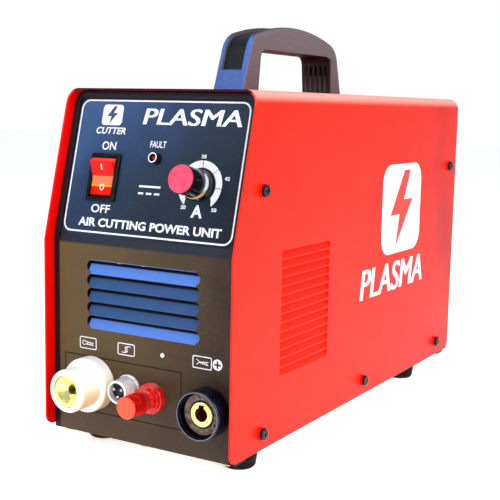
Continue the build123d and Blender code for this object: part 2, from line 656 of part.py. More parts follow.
def make_earth_nut():
    lock = nut(30.0, 13.05, -WALL - 4.2, -WALL)
    lug = nut(17.0, 5.05, -19.0, -15.0) + ring(8.5, 5.05, -14.8, -12.6)
    return group([FRONT.location * Pos(*EARTH, 0) * item for item in (lock, lug)])


# ---- rear panel fittings ------------------------------------------------------------------
def make_fan_frame():
    half = FAN_SIZE / 2
    frame = extrude(RectangleRounded(FAN_SIZE, FAN_SIZE, 4.0), -FAN_DEPTH)
    frame -= disc(half - 2.0, -FAN_DEPTH - 1, 1)
    hub = disc(17.0, -3.0, 0)
    struts = [Rot(0, 0, a) * block((-2, 2), (15, half - 1), (-3.0, 0)) for a in (45, 135, 225, 315)]
    for strut in struts:
        hub += strut
    frame += hub + disc(3.0, -15.0, -2.9)
    corner = FAN_HOLES / 2
    frame -= [disc(2.2, -FAN_DEPTH - 1, 1, i * corner, j * corner) for i in (-1, 1) for j in (-1, 1)]
    return REAR.location * Pos(*FAN, -REAR_WALL) * frame


def make_fan_rotor():
    """Seven-blade impeller on a cup that runs on the frame's spindle."""
    cup = ring(17.5, 15.9, -21.5, -3.4) + disc(17.5, -23.0, -21.4)
    cup += disc(5.0, -21.5, -5.0) - disc(3.05, -22.0, -4.0)
    blade = block((-0.7, 0.7), (17.0, FAN_SIZE / 2 - 3.2), (-7.5, 7.5))
    for i in range(7):
        cup += Rot(0, 0, i * 360 / 7) * Pos(0, 0, -13.0) * Rot(0, 38, 0) * blade
    cup -= disc(3.05, -16.0, -3.0)
    return REAR.location * Pos(*FAN, -REAR_WALL) * cup


def make_fan_guard():
    """Wire guard: four rings on two crossed bars with screw eyes."""
    wire = 0.9
    z = 2.4
    guard = Pos(0, 0, z) * Torus(13.0, wire)
    for r in (23.0, 33.0, 43.0):
        guard += Pos(0, 0, z) * Torus(r, wire)
    corner = FAN_HOLES / 2
    for angle in (45, 135, 225, 315):
        guard += Rot(0, 0, angle) * Rot(0, 90, 0) * Pos(-z + 1.2, 0, 0) * disc(wire, 9.0, corner * 2 ** 0.5 - 3.2)
    for i in (-1, 1):
        for j in (-1, 1):
            guard += ring(4.2, 2.2, 0.0, 2.2, i * corner, j * corner)
    return REAR.location * Pos(*FAN, 0) * guard


def make_fan_screws():
    corner = FAN_HOLES / 2
    screw = Pos(0, 0, 2.2) * pan_screw(3.8, 2.2, 1.9, 4.0 + FAN_DEPTH + 3.2)
    items = []
    for i in (-1, 1):
        for j in (-1, 1):
            items.append(screw.moved(Location((i * corner, j * corner, 0))))
            items.append(nut(7.0, 1.9, -FAN_DEPTH - 4.5, -FAN_DEPTH - 1.5, i * corner, j * corner))
    return group([REAR.location * Pos(*FAN, 0) * item for item in items])


def make_gland():
    """Mains cable gland: hex flange, dome nut and an empty bore."""
    body = hexagon(24.0, 0, 6.0) + disc(10.6, 5.9, 9.0) + hexagon(21.0, 9.0, 20.0) + disc(8.0, -12.0, 0)
    body += cone(10.0, 7.4, 19.9, PROUD)
    body -= disc(5.2, -13, PROUD + 1)
    return REAR.location * Pos(*GLAND, 0) * body


def make_gland_nut():
    lock = nut(23.0, 8.05, -5.7, -1.7)
    return REAR.location * Pos(*GLAND, 0) * lock


def make_air_inlet():
    """Brass bulkhead union for the compressed-air line."""
    body = hexagon(19.0, 0, 6.0) + disc(6.5, 5.9, 17.0) + disc(6.5, -11.0, 0)
    body += disc(4.5, -22.0, -10.9)
    body -= disc(4.0, 4.0, 18.0) + disc(2.6, -23.0, 5.0)
    return REAR.location * Pos(*INLET, 0) * body


def make_inlet_nut():
    lock = nut(19.0, 6.55, -5.5, -1.6)
    return REAR.location * Pos(*INLET, 0) * lock


# ---- air circuit --------------------------------------------------------------------------


def make_valve_body():
    """Brass valve block in line with the inlet, with barbs front and rear."""
    x = -INLET[0]
    body = block((x - 11, x + 11), (VALVE_Y - 14, VALVE_Y + 14), (VALVE_Z - 10, VALVE_Z + 12.2))
    along = Plane(origin=(x, VALVE_Y, VALVE_Z), x_dir=(1, 0, 0), z_dir=(0, 1, 0)).location
    body += along * disc(HOSE_BORE, 13.9, 24.0) + along * disc(HOSE_BORE, -24.0, -13.9)
    body -= along * disc(1.5, -25, 25)
    body += disc(4.8, VALVE_Z - 30, VALVE_Z - 9.9, x, VALVE_Y)
    body -= disc(3.05, VALVE_Z - 28.5, VALVE_Z + 6, x, VALVE_Y)
    return body


def make_valve_coil():
    """Solenoid coil below the valve block, with its steel yoke plate."""
    x = -INLET[0]
    coil = fillet(block((x - 10, x + 10), (VALVE_Y - 10, VALVE_Y + 10), (VALVE_Z - 29, VALVE_Z - 10.3))
                  .edges().filter_by(Axis.Z), 3.0)
    coil -= disc(4.85, VALVE_Z - 31, VALVE_Z - 9, x, VALVE_Y)
    terminal = block((x - 3, x - 2), (VALVE_Y + 9.5, VALVE_Y + 16), (VALVE_Z - 22, VALVE_Z - 17))
    terminal += block((x + 2, x + 3), (VALVE_Y + 9.5, VALVE_Y + 16), (VALVE_Z - 22, VALVE_Z - 17))
    return coil + terminal


def make_valve_plunger():
    return disc(3.0, VALVE_Z - 27.0, VALVE_Z - 2.4, -INLET[0], VALVE_Y)


def hose(points, radii):
    path = FilletPolyline(*points, radius=radii)
    profile = Plane(origin=path @ 0, z_dir=path % 0) * (Circle(HOSE_R) - Circle(HOSE_BORE + 0.02))
    return sweep(profile, path=path)


def make_inlet_hose():
    """Short straight hose from the bulkhead union's tail to the valve."""
    x = -INLET[0]
    along = Plane(origin=(x, VALVE_Y, VALVE_Z), x_dir=(1, 0, 0), z_dir=(0, 1, 0)).location
    end = Y_BACK - 22.4 - VALVE_Y
    return along * ring(HOSE_R, HOSE_BORE + 0.02, 14.3, end)


def make_torch_hose():
    """Hose from the valve, down the left wall, to the brass torch union's tail."""
    tail = (TORCH[0], Y_PANEL + 30.4, FOOT_H + TORCH[1])
    points = [(-INLET[0], VALVE_Y - 14.5, VALVE_Z), (-INLET[0], 70.0, VALVE_Z), (-67.0, 30.0, 168.0),
              (-67.0, -60.0, 122.0), (-66.0, -114.0, 74.0), (TORCH[0], -122.0, tail[2]), tail]
    return hose(points, HOSE_BENDS)


# ---- power electronics --------------------------------------------------------------------


def make_heat_sink(side):
    """Extruded comb with its back to the middle of the case."""
    spine = (SINK_IN, SINK_IN + 6)
    sink = block(spine, SINK_Y, SINK_Z)
    fins = 9
    pitch = (SINK_Z[1] - SINK_Z[0] - 2.0) / (fins - 1)
    for i in range(fins):
        z = SINK_Z[0] + i * pitch
        sink += block((spine[1] - 0.5, SINK_OUT), SINK_Y, (z, z + 2.0))
    return sink if side > 0 else mirror(sink, about=Plane.YZ)


def make_sink_brackets():
    """Insulating pillars that hold the heat sinks off the chassis plate, with their screws."""
    pillars = [ring(5.0, 2.0, BASE_TOP, SINK_Z[0], x, y) for x, y in SINK_FEET]
    screws = [disc(1.9, FOOT_H, SINK_Z[0], x, y) + disc(3.6, FOOT_H - 2.2, FOOT_H, x, y) for x, y in SINK_FEET]
    return pillars, screws


def make_transistors():
    """Switching transistors clamped on the heat sinks' inner faces."""
    items = []
    for side in (-1, 1):
        for i in range(5):
            y = -45.0 + i * 31.0
            x = sorted((side * (SINK_IN - 5.0), side * SINK_IN))
            body = block(x, (y - 8, y + 8), (SINK_Z[1] - 24, SINK_Z[1] - 3))
            leg_x = side * (SINK_IN - 2.5)
            for k in (-5.4, 0, 5.4):
                body += block((leg_x - 0.4, leg_x + 0.4), (y + k - 0.6, y + k + 0.6), (SINK_Z[1] - 3.1, BOARD_Z))
            items.append(body)
    return group(items)


def board_hole(x, y, r):
    return disc(r, BOARD_Z - 1, BOARD_Z + BOARD_T + 1, x, y)


def make_main_board():
    board = block((-BOARD_X, BOARD_X), BOARD_Y, (BOARD_Z, BOARD_Z + BOARD_T))
    board -= [board_hole(x, y, 1.7) for x, y in STANDOFFS]
    return board


def make_standoffs():
    """Hexagonal pillars under the main board with a screw on top of each."""
    pillars = [hexagon(7.0, BASE_TOP, BOARD_Z, x, y) for x, y in STANDOFFS]
    screws = []
    for x, y in STANDOFFS:
        head = disc(3.0, BOARD_Z + BOARD_T, BOARD_Z + BOARD_T + 2.0, x, y)
        screws.append(head + disc(1.6, BOARD_Z, BOARD_Z + BOARD_T + 0.1, x, y))
    return [pillar + screw for pillar, screw in zip(pillars, screws)]


def make_capacitors():
    """Four bus capacitors standing on the main board."""
    items = []
    for x in (-40.0, -6.0):
        for y in (46.0, 82.0):
            can = fillet(disc(15.0, BOARD_TOP, BOARD_TOP + 44.0, x, y).edges().group_by(Axis.Z)[-1], 1.6)
            items.append(can)
    return group(items)


def make_rectifier():
    """Bridge rectifier with its own small heat sink."""
    base = block((20, 52), (70, 98), (BOARD_TOP, BOARD_TOP + 6))
    for i in range(7):
        x = 20 + i * 5.0
        base += block((x, x + 2.0), (70, 98), (BOARD_TOP + 5.9, BOARD_TOP + 24))
    return base


def make_transformer_core():
    """Ferrite E-core pair standing on the main board."""
    core = block((-33, 33), (-14, 14), (BOARD_TOP, BOARD_TOP + 52))
    for side in (-1, 1):
        x = sorted((side * 10.0, side * 23.0))
        core -= block(x, (-15, 15), (BOARD_TOP + 10, BOARD_TOP + 42))
    return Pos(0, -15, 0) * core


def make_transformer_winding():
    """Taped winding around the core's middle leg."""
    coil = fillet(block((-22.7, 22.7), (-24, 24), (BOARD_TOP + 10.3, BOARD_TOP + 41.7)).edges().filter_by(Axis.Z), 6)
    coil -= block((-10.3, 10.3), (-14.3, 14.3), (BOARD_TOP, BOARD_TOP + 60))
    return Pos(0, -15, 0) * coil


def make_inductor():
    """Output choke: toroid with its winding, lying on the main board."""
    core = ring(21.0, 11.0, BOARD_TOP + 2.0, BOARD_TOP + 18.0)
    turns = []
    for i in range(18):
        wire = block((9.6, 22.4), (-1.1, 1.1), (BOARD_TOP + 0.4, BOARD_TOP + 19.6))
        turns.append(Rot(0, 0, i * 20) * wire)
    for turn in turns:
        core += turn
    return Pos(32, -78, 0) * core


def make_hf_board():
    """High-frequency starting board on edge, with its coupling coil."""
    return block((-47.0, -45.4), (-100, -48), (BOARD_TOP, BOARD_TOP + 50))


def make_hf_coil():
    coil = Rot(0, 90, 0) * ring(15.0, 7.0, -9.0, 9.0)
    return Pos(-35.8, -80, BOARD_TOP + 26) * coil


def make_control_board():
    """Control board on edge along the right wall, with its relay and chips."""
    board = block((56.0, 57.6), (-48, 60), (BOARD_TOP, BOARD_TOP + 62))
    return board


def make_control_parts():
    parts = []
    for y, z in ((-34, 18), (-10, 40), (16, 20), (40, 44)):
        parts.append(block((51.0, 56.0), (y - 7, y + 7), (BOARD_TOP + z - 4, BOARD_TOP + z + 4)))
    parts.append(block((40.0, 56.0), (30, 52), (BOARD_TOP + 8, BOARD_TOP + 28)))
    return group(parts)


def main():
    os.makedirs("parts", exist_ok=True)
    pillars, screws = make_sink_brackets()
    nodes = {
        "cover": make_cover(),
        "front_panel": make_front_panel(),
        "rear_panel": make_rear_panel(),
        "base_plate": make_base(),
        "cover_screws": make_side_screws(),
        "panel_screws": make_panel_screws(),
        "foot_screws": group(make_foot_screws()),
        "handle": make_handle(),
        "handle_screws": group(make_handle_screws()),
        "control_label": make_decal(),
        "switch_housing": make_switch_housing(),
        "switch_rocker": make_rocker(),
        "switch_terminals": make_switch_tabs(),
        "led_bezel": make_led_bezel(),
        "led_lens": make_led_lens(),
        "current_knob": make_knob(),
        "knob_cap": make_knob_cap(),
        "pot_shaft": make_pot_shaft(),
        "pot_body": make_pot_body(),
        "connector_plate": make_connector_plate(),
        "torch_socket_body": make_torch_body(),
        "torch_brass_union": make_torch_insert(),
        "torch_lock_nut": make_torch_nut(),
        "torch_power_lug": make_torch_lug(),
        "pilot_socket_shell": make_pilot_shell(),
        "pilot_socket_insert": make_pilot_insert(),
        "pilot_socket_pins": make_pilot_pins(),
        "post_flange": make_post_base(),
        "post_stud": make_post_stud(),
        "post_washer": make_post_washer(),
        "post_cap": make_post_cap(),
        "post_nuts": make_post_nuts(),
        "earth_socket_shell": make_earth_shell(),
        "earth_socket_insulator": make_earth_insulator(),
        "earth_socket_contact": make_earth_contact(),
        "earth_socket_nuts": make_earth_nut(),
        "fan_frame": make_fan_frame(),
        "fan_rotor": make_fan_rotor(),
        "fan_guard": make_fan_guard(),
        "fan_screws": make_fan_screws(),
        "lock_nuts": group([make_pot_nut(), make_pilot_nut(), make_gland_nut(), make_inlet_nut()]),
        "mains_gland": make_gland(),
        "air_inlet": make_air_inlet(),
        "valve_body": make_valve_body(),
        "valve_coil": make_valve_coil(),
        "valve_plunger": make_valve_plunger(),
        "inlet_hose": make_inlet_hose(),
        "torch_hose": make_torch_hose(),
        "heat_sink_left": make_heat_sink(-1),
        "heat_sink_right": make_heat_sink(1),
        "sink_pillars": group(pillars + screws),
        "transistors": make_transistors(),
        "main_board": make_main_board(),
        "board_standoffs": group(make_standoffs()),
        "board_parts": group([make_capacitors(), make_rectifier(), make_inductor(), make_hf_board(),
                              make_hf_coil(), make_control_board(), make_control_parts()]),
        "transformer": group([make_transformer_core(), make_transformer_winding()]),
    }
    for side, x in (("left", -FOOT_X), ("right", FOOT_X)):
        for end, y in zip(("front", "rear"), FOOT_Y):
            nodes[f"foot_{end}_{side}"] = make_foot(x, y)
    for name, shape in nodes.items():
        save(name, shape)
    print(len(nodes), "nodes; slant", round(degrees(LEAN), 2), "degrees; hose length",
          round(nodes["torch_hose"].volume / (pi * (HOSE_R ** 2 - (HOSE_BORE + 0.02) ** 2)), 1))


main()
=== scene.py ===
import json
import math

import bpy
import numpy as np
from mathutils import Matrix, Vector


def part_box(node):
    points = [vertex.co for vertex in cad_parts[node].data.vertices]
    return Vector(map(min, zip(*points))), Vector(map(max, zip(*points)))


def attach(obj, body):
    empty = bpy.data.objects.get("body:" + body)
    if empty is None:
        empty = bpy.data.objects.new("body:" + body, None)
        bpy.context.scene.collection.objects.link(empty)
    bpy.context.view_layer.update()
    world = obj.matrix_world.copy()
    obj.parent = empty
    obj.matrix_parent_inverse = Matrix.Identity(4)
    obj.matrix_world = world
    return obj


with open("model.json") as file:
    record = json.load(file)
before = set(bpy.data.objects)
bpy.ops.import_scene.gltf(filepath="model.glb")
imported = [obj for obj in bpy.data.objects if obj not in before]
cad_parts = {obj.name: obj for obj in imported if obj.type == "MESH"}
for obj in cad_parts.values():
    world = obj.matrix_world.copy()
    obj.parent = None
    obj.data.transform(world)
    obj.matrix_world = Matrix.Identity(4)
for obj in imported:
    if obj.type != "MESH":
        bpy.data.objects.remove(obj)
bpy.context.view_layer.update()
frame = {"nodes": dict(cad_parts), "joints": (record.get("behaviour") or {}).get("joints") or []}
print("frame loaded:", len(frame["nodes"]), "nodes")


mm = 0.001   # sizes below are in millimetres times this


# linear colour from a screen colour written as six hex digits
def tone(hexCode):
    screen = np.array([int(hexCode[i:i + 2], 16) for i in (0, 2, 4)]) / 255
    linear = np.where(screen <= 0.04045, screen / 12.92, ((screen + 0.055) / 1.055) ** 2.4)
    return (*linear.tolist(), 1.0)


# a node's socket that can be added, multiplied and compared
class Wire:
    def __init__(self, finish, socket):
        self.finish = finish
        self.socket = socket

    def math(self, operation, *others):
        values = dict(enumerate((self, *others)))
        return self.finish.add("ShaderNodeMath", {"operation": operation}, values)

    def __add__(self, other):
        return self.math("ADD", other)

    def __radd__(self, other):
        return self.math("ADD", other)

    def __sub__(self, other):
        return self.math("SUBTRACT", other)

    def __rsub__(self, other):
        return self.finish.add("ShaderNodeMath", {"operation": "SUBTRACT"}, {0: other, 1: self})

    def __mul__(self, other):
        return self.math("MULTIPLY", other)

    def __rmul__(self, other):
        return self.math("MULTIPLY", other)

    def __truediv__(self, other):
        return self.math("DIVIDE", other)

    def __abs__(self):
        return self.math("ABSOLUTE")

    def above(self, low, high):   # 0 under low, 1 over high, smooth between
        return self.finish.add("ShaderNodeMapRange", {"interpolation_type": "SMOOTHSTEP"},
                               {"Value": self, "From Min": low, "From Max": high})

    def below(self, low, high):   # 1 under low, 0 over high
        return 1 - self.above(low, high)


class Graph:
    def __init__(self, tree):
        self.tree = tree

    # any node: its settings first, then the values or wires of its sockets
    def add(self, kind, settings=None, values=None, out=0):
        node = self.tree.nodes.new(kind)
        for key, value in (settings or {}).items():
            if key == "stops":
                ramp = node.color_ramp.elements
                while len(ramp) < len(value):
                    ramp.new(0.5)
                for element, (at, colour) in zip(ramp, value):
                    element.position = at
                    element.color = colour
            else:
                setattr(node, key, value)
        for key, value in (values or {}).items():
            if isinstance(value, Wire):
                self.tree.links.new(value.socket, node.inputs[key])
            else:
                node.inputs[key].default_value = value
        return Wire(self, node.outputs[out])

    def blend(self, share, first, second):
        return self.add("ShaderNodeMix", {"data_type": "RGBA"}, {0: share, 6: first, 7: second}, 2)


class Finish(Graph):
    def __init__(self, name, **plain):
        self.material = bpy.data.materials.new(name)
        self.material.use_nodes = True
        super().__init__(self.material.node_tree)
        self.shader = self.tree.nodes["Principled BSDF"]
        for key, value in plain.items():
            self.shader.inputs[key.replace("_", " ")].default_value = value
        self.place = self.add("ShaderNodeTexCoord", out="Object")
        split = "ShaderNodeSeparateXYZ"
        self.x, self.y, self.z = (self.add(split, {}, {0: self.place}, i) for i in range(3))

    # the part of the surface's own direction along an axis, from -1 to 1
    def facing(self, axis):
        direction = self.add("ShaderNodeTexCoord", out="Normal")
        return self.add("ShaderNodeSeparateXYZ", {}, {0: direction}, axis)

    # distance from a line along y through a point in metres
    def fromAxis(self, spot):
        across, up = self.x - spot[0], self.z - spot[2]
        return (across * across + up * up).math("SQRT")

    # noise with grains of a size in metres, drawn out along an axis by stretch
    def grain(self, size, detail=2.0, rough=0.5, stretch=(1, 1, 1), shift=0.0):
        scale = tuple(1 / (size * s) for s in stretch)
        spot = self.add("ShaderNodeMapping", {},
                        {"Vector": self.place, "Scale": scale, "Location": (shift,) * 3})
        return self.add("ShaderNodeTexNoise", {},
                        {"Vector": spot, "Scale": 1.0, "Detail": detail, "Roughness": rough})

    # raises the surface by height times depth, in metres; gives the finish back
    def bump(self, height, depth):
        relief = {"Height": height, "Distance": depth, "Strength": 1.0}
        return self.feed("Normal", self.add("ShaderNodeBump", {}, relief))

    def feed(self, socket, wire):
        self.tree.links.new(wire.socket, self.shader.inputs[socket])
        return self


# plastic, rubber or paint: two tones mottled together, a fine grain and a few paler scuffs
def mottled(name, deep, pale, size, texture, depth, rough, scuff=None, **plain):
    made = Finish(name, **{"Specular_IOR_Level": 0.25, **plain})
    patches = made.grain(size, 4.0, 0.6)
    colour = made.blend(patches.above(0.35, 0.68), deep, pale)
    if scuff:
        marks = made.grain(size * 0.5, 6.0, 0.7, (4.0, 0.6, 1.0), 3.0).above(0.66, 0.74)
        colour = made.blend(marks * 0.35, colour, scuff)
    fine = made.grain(texture, 2.0)
    made.feed("Base Color", colour)
    haze = made.grain(size * 2, 3.0, 0.6, shift=7.0)
    made.feed("Roughness", rough[0] + (rough[1] - rough[0]) * haze)
    return made.bump(fine, depth)


# metal: turned or drawn marks, patches of tarnish and a varying polish
def metal(name, bright, dull, size, stretch=(1, 1, 1), rough=(0.16, 0.36)):
    made = Finish(name, Metallic=1.0)
    patches = made.grain(size, 4.0, 0.65)
    lines = made.grain(0.35 * mm, 3.0, 0.6, stretch)
    made.feed("Base Color", made.blend(patches.above(0.38, 0.7), bright, dull))
    made.feed("Roughness", rough[0] + (rough[1] - rough[0]) * (0.6 * patches + 0.4 * lines))
    return made.bump(lines, 0.01 * mm)


coverLow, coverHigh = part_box("cover")
panelLow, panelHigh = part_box("front_panel")
labelLow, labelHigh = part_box("control_label")
plateLow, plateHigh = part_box("connector_plate")
handleLow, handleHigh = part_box("handle")
kneeZ = labelLow.z - 6.6 * mm   # where the panel bends back


def middleOf(name):
    low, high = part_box(name)
    return (low + high) / 2


# powder coat: fine orange peel and faint clouding; painted shade makes it darker towards the back, deeper red
# in the folds and on faces turned down, and near black along the top front edge; a painted highlight runs
# along the top bends
def redCoat():
    look = {"front": tone("fb200a"), "rear": tone("b42420"), "warm": tone("ff280e"),
            "inside": tone("dc0402"), "edge": tone("ffb8a8"), "lip": tone("240000")}
    made = Finish("red_coat_paint", Specular_IOR_Level=0.12)
    # painted shade: the red darkens from front to back
    outside = made.blend(made.y.above(0, coverHigh.y), look["front"], look["rear"])
    outside = made.blend(made.grain(90 * mm, 3.0, 0.5).above(0.4, 0.7) * 0.5, outside, look["warm"])
    # painted shade: deeper red on faces turned down and on the inner faces of the folds
    under = (made.facing(2) * -1).above(0.3, 0.6)
    inside = (made.x * made.facing(0)).below(-0.04, -0.02).math("MAXIMUM", under)
    # painted highlight: a pale band along the top bends, where the faces turn upwards
    bend = made.facing(2).above(0.05, 0.85)
    bend = bend * abs(made.x).above(coverHigh.x - 12 * mm, coverHigh.x - 8 * mm)
    bend = bend * made.z.above(coverHigh.z - 11 * mm, coverHigh.z - 9 * mm)
    colour = made.blend(bend * 0.75, outside, look["edge"])
    colour = made.blend(inside, colour, look["inside"])
    # painted shadow: near black on faces turned forwards along the top front edge
    lip = (made.facing(1) * -1).above(0.7, 0.95)
    lip = lip * made.z.above(coverHigh.z - 3 * mm, coverHigh.z - 1.5 * mm)
    colour = made.blend(lip, colour, look["lip"])
    peel = made.grain(1.1 * mm, 2.0, 0.5)
    specks = made.grain(0.25 * mm, 1.0)
    made.feed("Base Color", colour)
    made.feed("Roughness", 0.34 + 0.16 * made.grain(30 * mm, 3.0, 0.6, shift=2.0))
    return made.bump(peel * 0.8 + specks * 0.2, 0.06 * mm)


# moulded panel with painted reflections: warm olive brown below the bend and blue-black above it; painted
# shade near black on the bead; blue louvres as a painted sky reflection
def moulding():
    look = {"left": tone("5e4a28"), "right": tone("2e1e10"), "low": tone("403020"),
            "slope": tone("161e2a"), "bead": tone("06070a"), "blade": tone("5480d4"),
            "bladeDeep": tone("2a4e80"), "line": tone("010104"), "grain": tone("505024")}
    vents = {"x": 0.3 * mm, "half": 42.0 * mm, "end": 44.2 * mm, "top": coverLow.z + 117.2 * mm,
             "pitch": 9.33 * mm, "count": 5}
    made = Finish("black_moulding_plastic", Specular_IOR_Level=0.25)
    # painted reflection: warm olive brown, paler on the left and darker to the right, with another brown
    # towards the foot
    across = (made.x - panelLow.x) / (panelHigh.x - panelLow.x)
    share = across + 0.5 * (made.grain(35 * mm, 4.0, 0.6) - 0.5)
    lower = made.blend(share, look["left"], look["right"])
    foot = made.z.below(panelLow.z + 10 * mm, panelLow.z + 70 * mm)
    lower = made.blend(foot * 0.6, lower, look["low"])
    lower = made.blend(made.grain(2.2 * mm, 5.0, 0.7).above(0.5, 0.8) * 0.4, lower, look["grain"])
    # painted reflection: blue-black above the bend
    colour = made.blend(made.z.above(kneeZ - 0.5 * mm, kneeZ + 1.5 * mm), lower, look["slope"])

    # dark line round the inset plate: distance outwards from the plate's outline
    plate, half = (plateLow + plateHigh) / 2, (plateHigh - plateLow) / 2
    apart = (abs(made.x - plate.x) - half.x).math("MAXIMUM", abs(made.z - plate.z) - half.z)
    band = apart.above(-0.4 * mm, -0.1 * mm) * apart.below(0.3 * mm, 0.7 * mm)
    colour = made.blend(band * 0.9, colour, look["line"])

    # painted shade: near black on the raised bead, which stands forward of the plate or near the panel's
    # sides
    proud = made.y.below(plateLow.y - 0.8 * mm, plateLow.y - 0.3 * mm)
    rim = abs(made.x).above(panelHigh.x - 5.2 * mm, panelHigh.x - 4.2 * mm)
    colour = made.blend((proud + rim).math("MINIMUM", 1.0), colour, look["bead"])

    # blue blades as a painted sky reflection, deeper on the middle rows, with a painted shade line at the top
    # of each slot: row counts vents downwards, and step is the place within one vent
    row = (vents["top"] - made.z) / vents["pitch"]
    inRows = row.above(-0.04, -0.02) * row.below(vents["count"] - 0.06, vents["count"] - 0.02)
    out = abs(made.x - vents["x"])
    between = out.below(vents["half"], vents["half"] + 0.4 * mm)
    depth = made.y.above(plateLow.y + 0.3 * mm, plateLow.y + 0.8 * mm)
    depth = depth * made.y.below(plateLow.y + 9 * mm, plateLow.y + 10 * mm)
    ends = abs(row - vents["count"] / 2).above(1.45, 1.6)
    blue = made.blend(ends, look["bladeDeep"], look["blade"])
    step = row.math("FRACT")
    beyond = out.above(vents["end"], vents["end"] + 0.4 * mm)
    # painted shade: the dark line at the top of each slot and past the blades' ends
    blue = made.blend(step.below(0.27, 0.34).math("MAXIMUM", beyond), blue, look["line"])
    colour = made.blend(inRows * (between + depth).math("MINIMUM", 1.0), colour, blue)
    made.feed("Base Color", colour)
    made.feed("Roughness", 0.42 + 0.2 * made.grain(18 * mm, 4.0, 0.6))
    return made.bump(made.grain(0.45 * mm, 2.0), 0.05 * mm)


# printed film: navy, with painted light making it paler towards the upper left, and a fine sand texture
def labelFilm():
    look = {"pale": tone("42689a"), "mid": tone("263a58"), "low": tone("1c2c3c"), "deep": tone("0a1220")}
    made = Finish("label_film_sheet", Specular_IOR_Level=0.13)
    up = (made.z - labelLow.z) / (labelHigh.z - labelLow.z)
    left = (labelHigh.x - made.x) / (labelHigh.x - labelLow.x)
    # painted light: paler towards the upper left, darker to the lower right
    share = 0.42 * up + 0.5 * left + 0.25 * (made.grain(40 * mm, 3.0) - 0.5)
    ramp = [(0.1, look["deep"]), (0.4, look["low"]), (0.6, look["mid"]), (0.98, look["pale"])]
    colour = made.add("ShaderNodeValToRGB", {"stops": ramp}, {0: share})
    sand = made.grain(0.7 * mm, 3.0, 0.7)
    colour = made.blend(sand.above(0.5, 0.8) * 0.3, colour, look["pale"])
    made.feed("Base Color", colour)
    made.feed("Roughness", 0.36 + 0.14 * sand)
    return made.bump(sand, 0.02 * mm)


# handle: sand-blasted black plastic, with a painted blue sky reflection where it faces forwards, painted
# light on its sides, and painted shade in its groove and inside the grip
def handlePlastic():
    look = {"front": tone("426cb4"), "side": tone("645c60"), "top": tone("34302f"), "deep": tone("08090c")}
    made = Finish("handle_plastic_grain", Specular_IOR_Level=0.3)
    # painted light: the sides paler than the top
    flat = made.blend(abs(made.facing(0)).above(0.3, 0.8), look["top"], look["side"])
    # painted reflection: blue on faces turned forwards at the front
    ahead = made.y.below(handleLow.y + 18 * mm, handleLow.y + 30 * mm)
    colour = made.blend((made.facing(1) * -1).above(0.35, 0.8) * ahead, flat, look["front"])
    # painted shade inside the grip, between the legs and under the crown
    within = made.y.above(handleLow.y + 25 * mm, handleLow.y + 30 * mm)
    within = within * made.y.below(handleHigh.y - 24 * mm, handleHigh.y - 20 * mm)
    within = within * made.z.below(handleLow.z + 29 * mm, handleLow.z + 31 * mm)
    colour = made.blend(within, colour, look["deep"])
    # painted shade in the groove along the top
    inGroove = abs(made.x).below(8.2 * mm, 8.8 * mm)
    inGroove = inGroove * made.z.above(handleLow.z + 15 * mm, handleLow.z + 16.5 * mm)
    colour = made.blend(inGroove, colour, look["deep"])
    mottle = made.grain(1.6 * mm, 5.0, 0.75).above(0.45, 0.75) * 0.45
    made.feed("Base Color", made.blend(mottle, colour, tone("26262c")))
    made.feed("Roughness", 0.45 + 0.2 * made.grain(12 * mm, 3.0))
    return made.bump(made.grain(0.6 * mm, 3.0, 0.7), 0.08 * mm)


# the slope's own directions, from the dial's axis, which stands square on it
joints = {joint["name"]: joint for joint in frame["joints"]}
slopeOut = np.array(joints["current_dial"]["axis"], float)
slopeUp = np.array([0.0, slopeOut[2], -slopeOut[1]])
dialSpot = np.array(joints["current_dial"]["pos_m"], float)
rockerSpot = np.array(joints["power_rocker"]["pos_m"], float)


# rocker: clear red, with a painted reflection as a salmon band and an amber line where the two halves meet,
# and a painted highlight on its paler top end
def rockerPlastic():
    look = {"deep": tone("d80a02"), "pale": tone("ee1c06"), "band": tone("ff7c50"),
            "amber": tone("ffa41c"), "end": tone("ff4438")}
    made = Finish("switch_red_plastic", Specular_IOR_Level=0.12)
    colour = made.blend(made.grain(5 * mm, 3.0).above(0.35, 0.7), look["deep"], look["pale"])
    up = made.y * slopeUp[1] + made.z * slopeUp[2] - float(rockerSpot @ slopeUp)
    # painted highlight on the top end, and painted reflection in the band and the amber line below
    colour = made.blend(up.above(9.6 * mm, 10.4 * mm), colour, look["end"])
    band = up.above(-5.6 * mm, -5.3 * mm) * up.below(0.6 * mm, 1.0 * mm)
    colour = made.blend(band, colour, look["band"])
    colour = made.blend(abs(up + 5.6 * mm).below(0.45 * mm, 0.75 * mm), colour, look["amber"])
    made.feed("Base Color", colour)
    made.feed("Roughness", 0.12 + 0.12 * made.grain(9 * mm, 3.0))
    return made.bump(made.grain(0.8 * mm), 0.01 * mm)


# turned nylon: white, with painted shade turning warm and then cream where it faces away to the right and
# down, and faint tool marks
def nylon():
    look = {"white": tone("ffffff"), "warm": tone("fff6e0"), "cream": tone("c89c60")}
    spot = middleOf("torch_socket_body")
    made = Finish("white_nylon_turned", Specular_IOR_Level=0.35)
    # painted shade on faces turned away to the right and down
    low = made.facing(0) * 0.75 - made.facing(2) * 0.65
    colour = made.blend(low.above(0.05, 0.5), look["white"], look["warm"])
    colour = made.blend(low.above(0.45, 1.0) * 0.8, colour, look["cream"])
    marks = (made.fromAxis(spot) * 9000.0).math("SINE") * 0.5 + made.grain(0.6 * mm)
    made.feed("Base Color", colour)
    made.feed("Roughness", 0.24 + 0.14 * made.grain(9 * mm, 3.0))
    return made.bump(marks, 0.006 * mm)


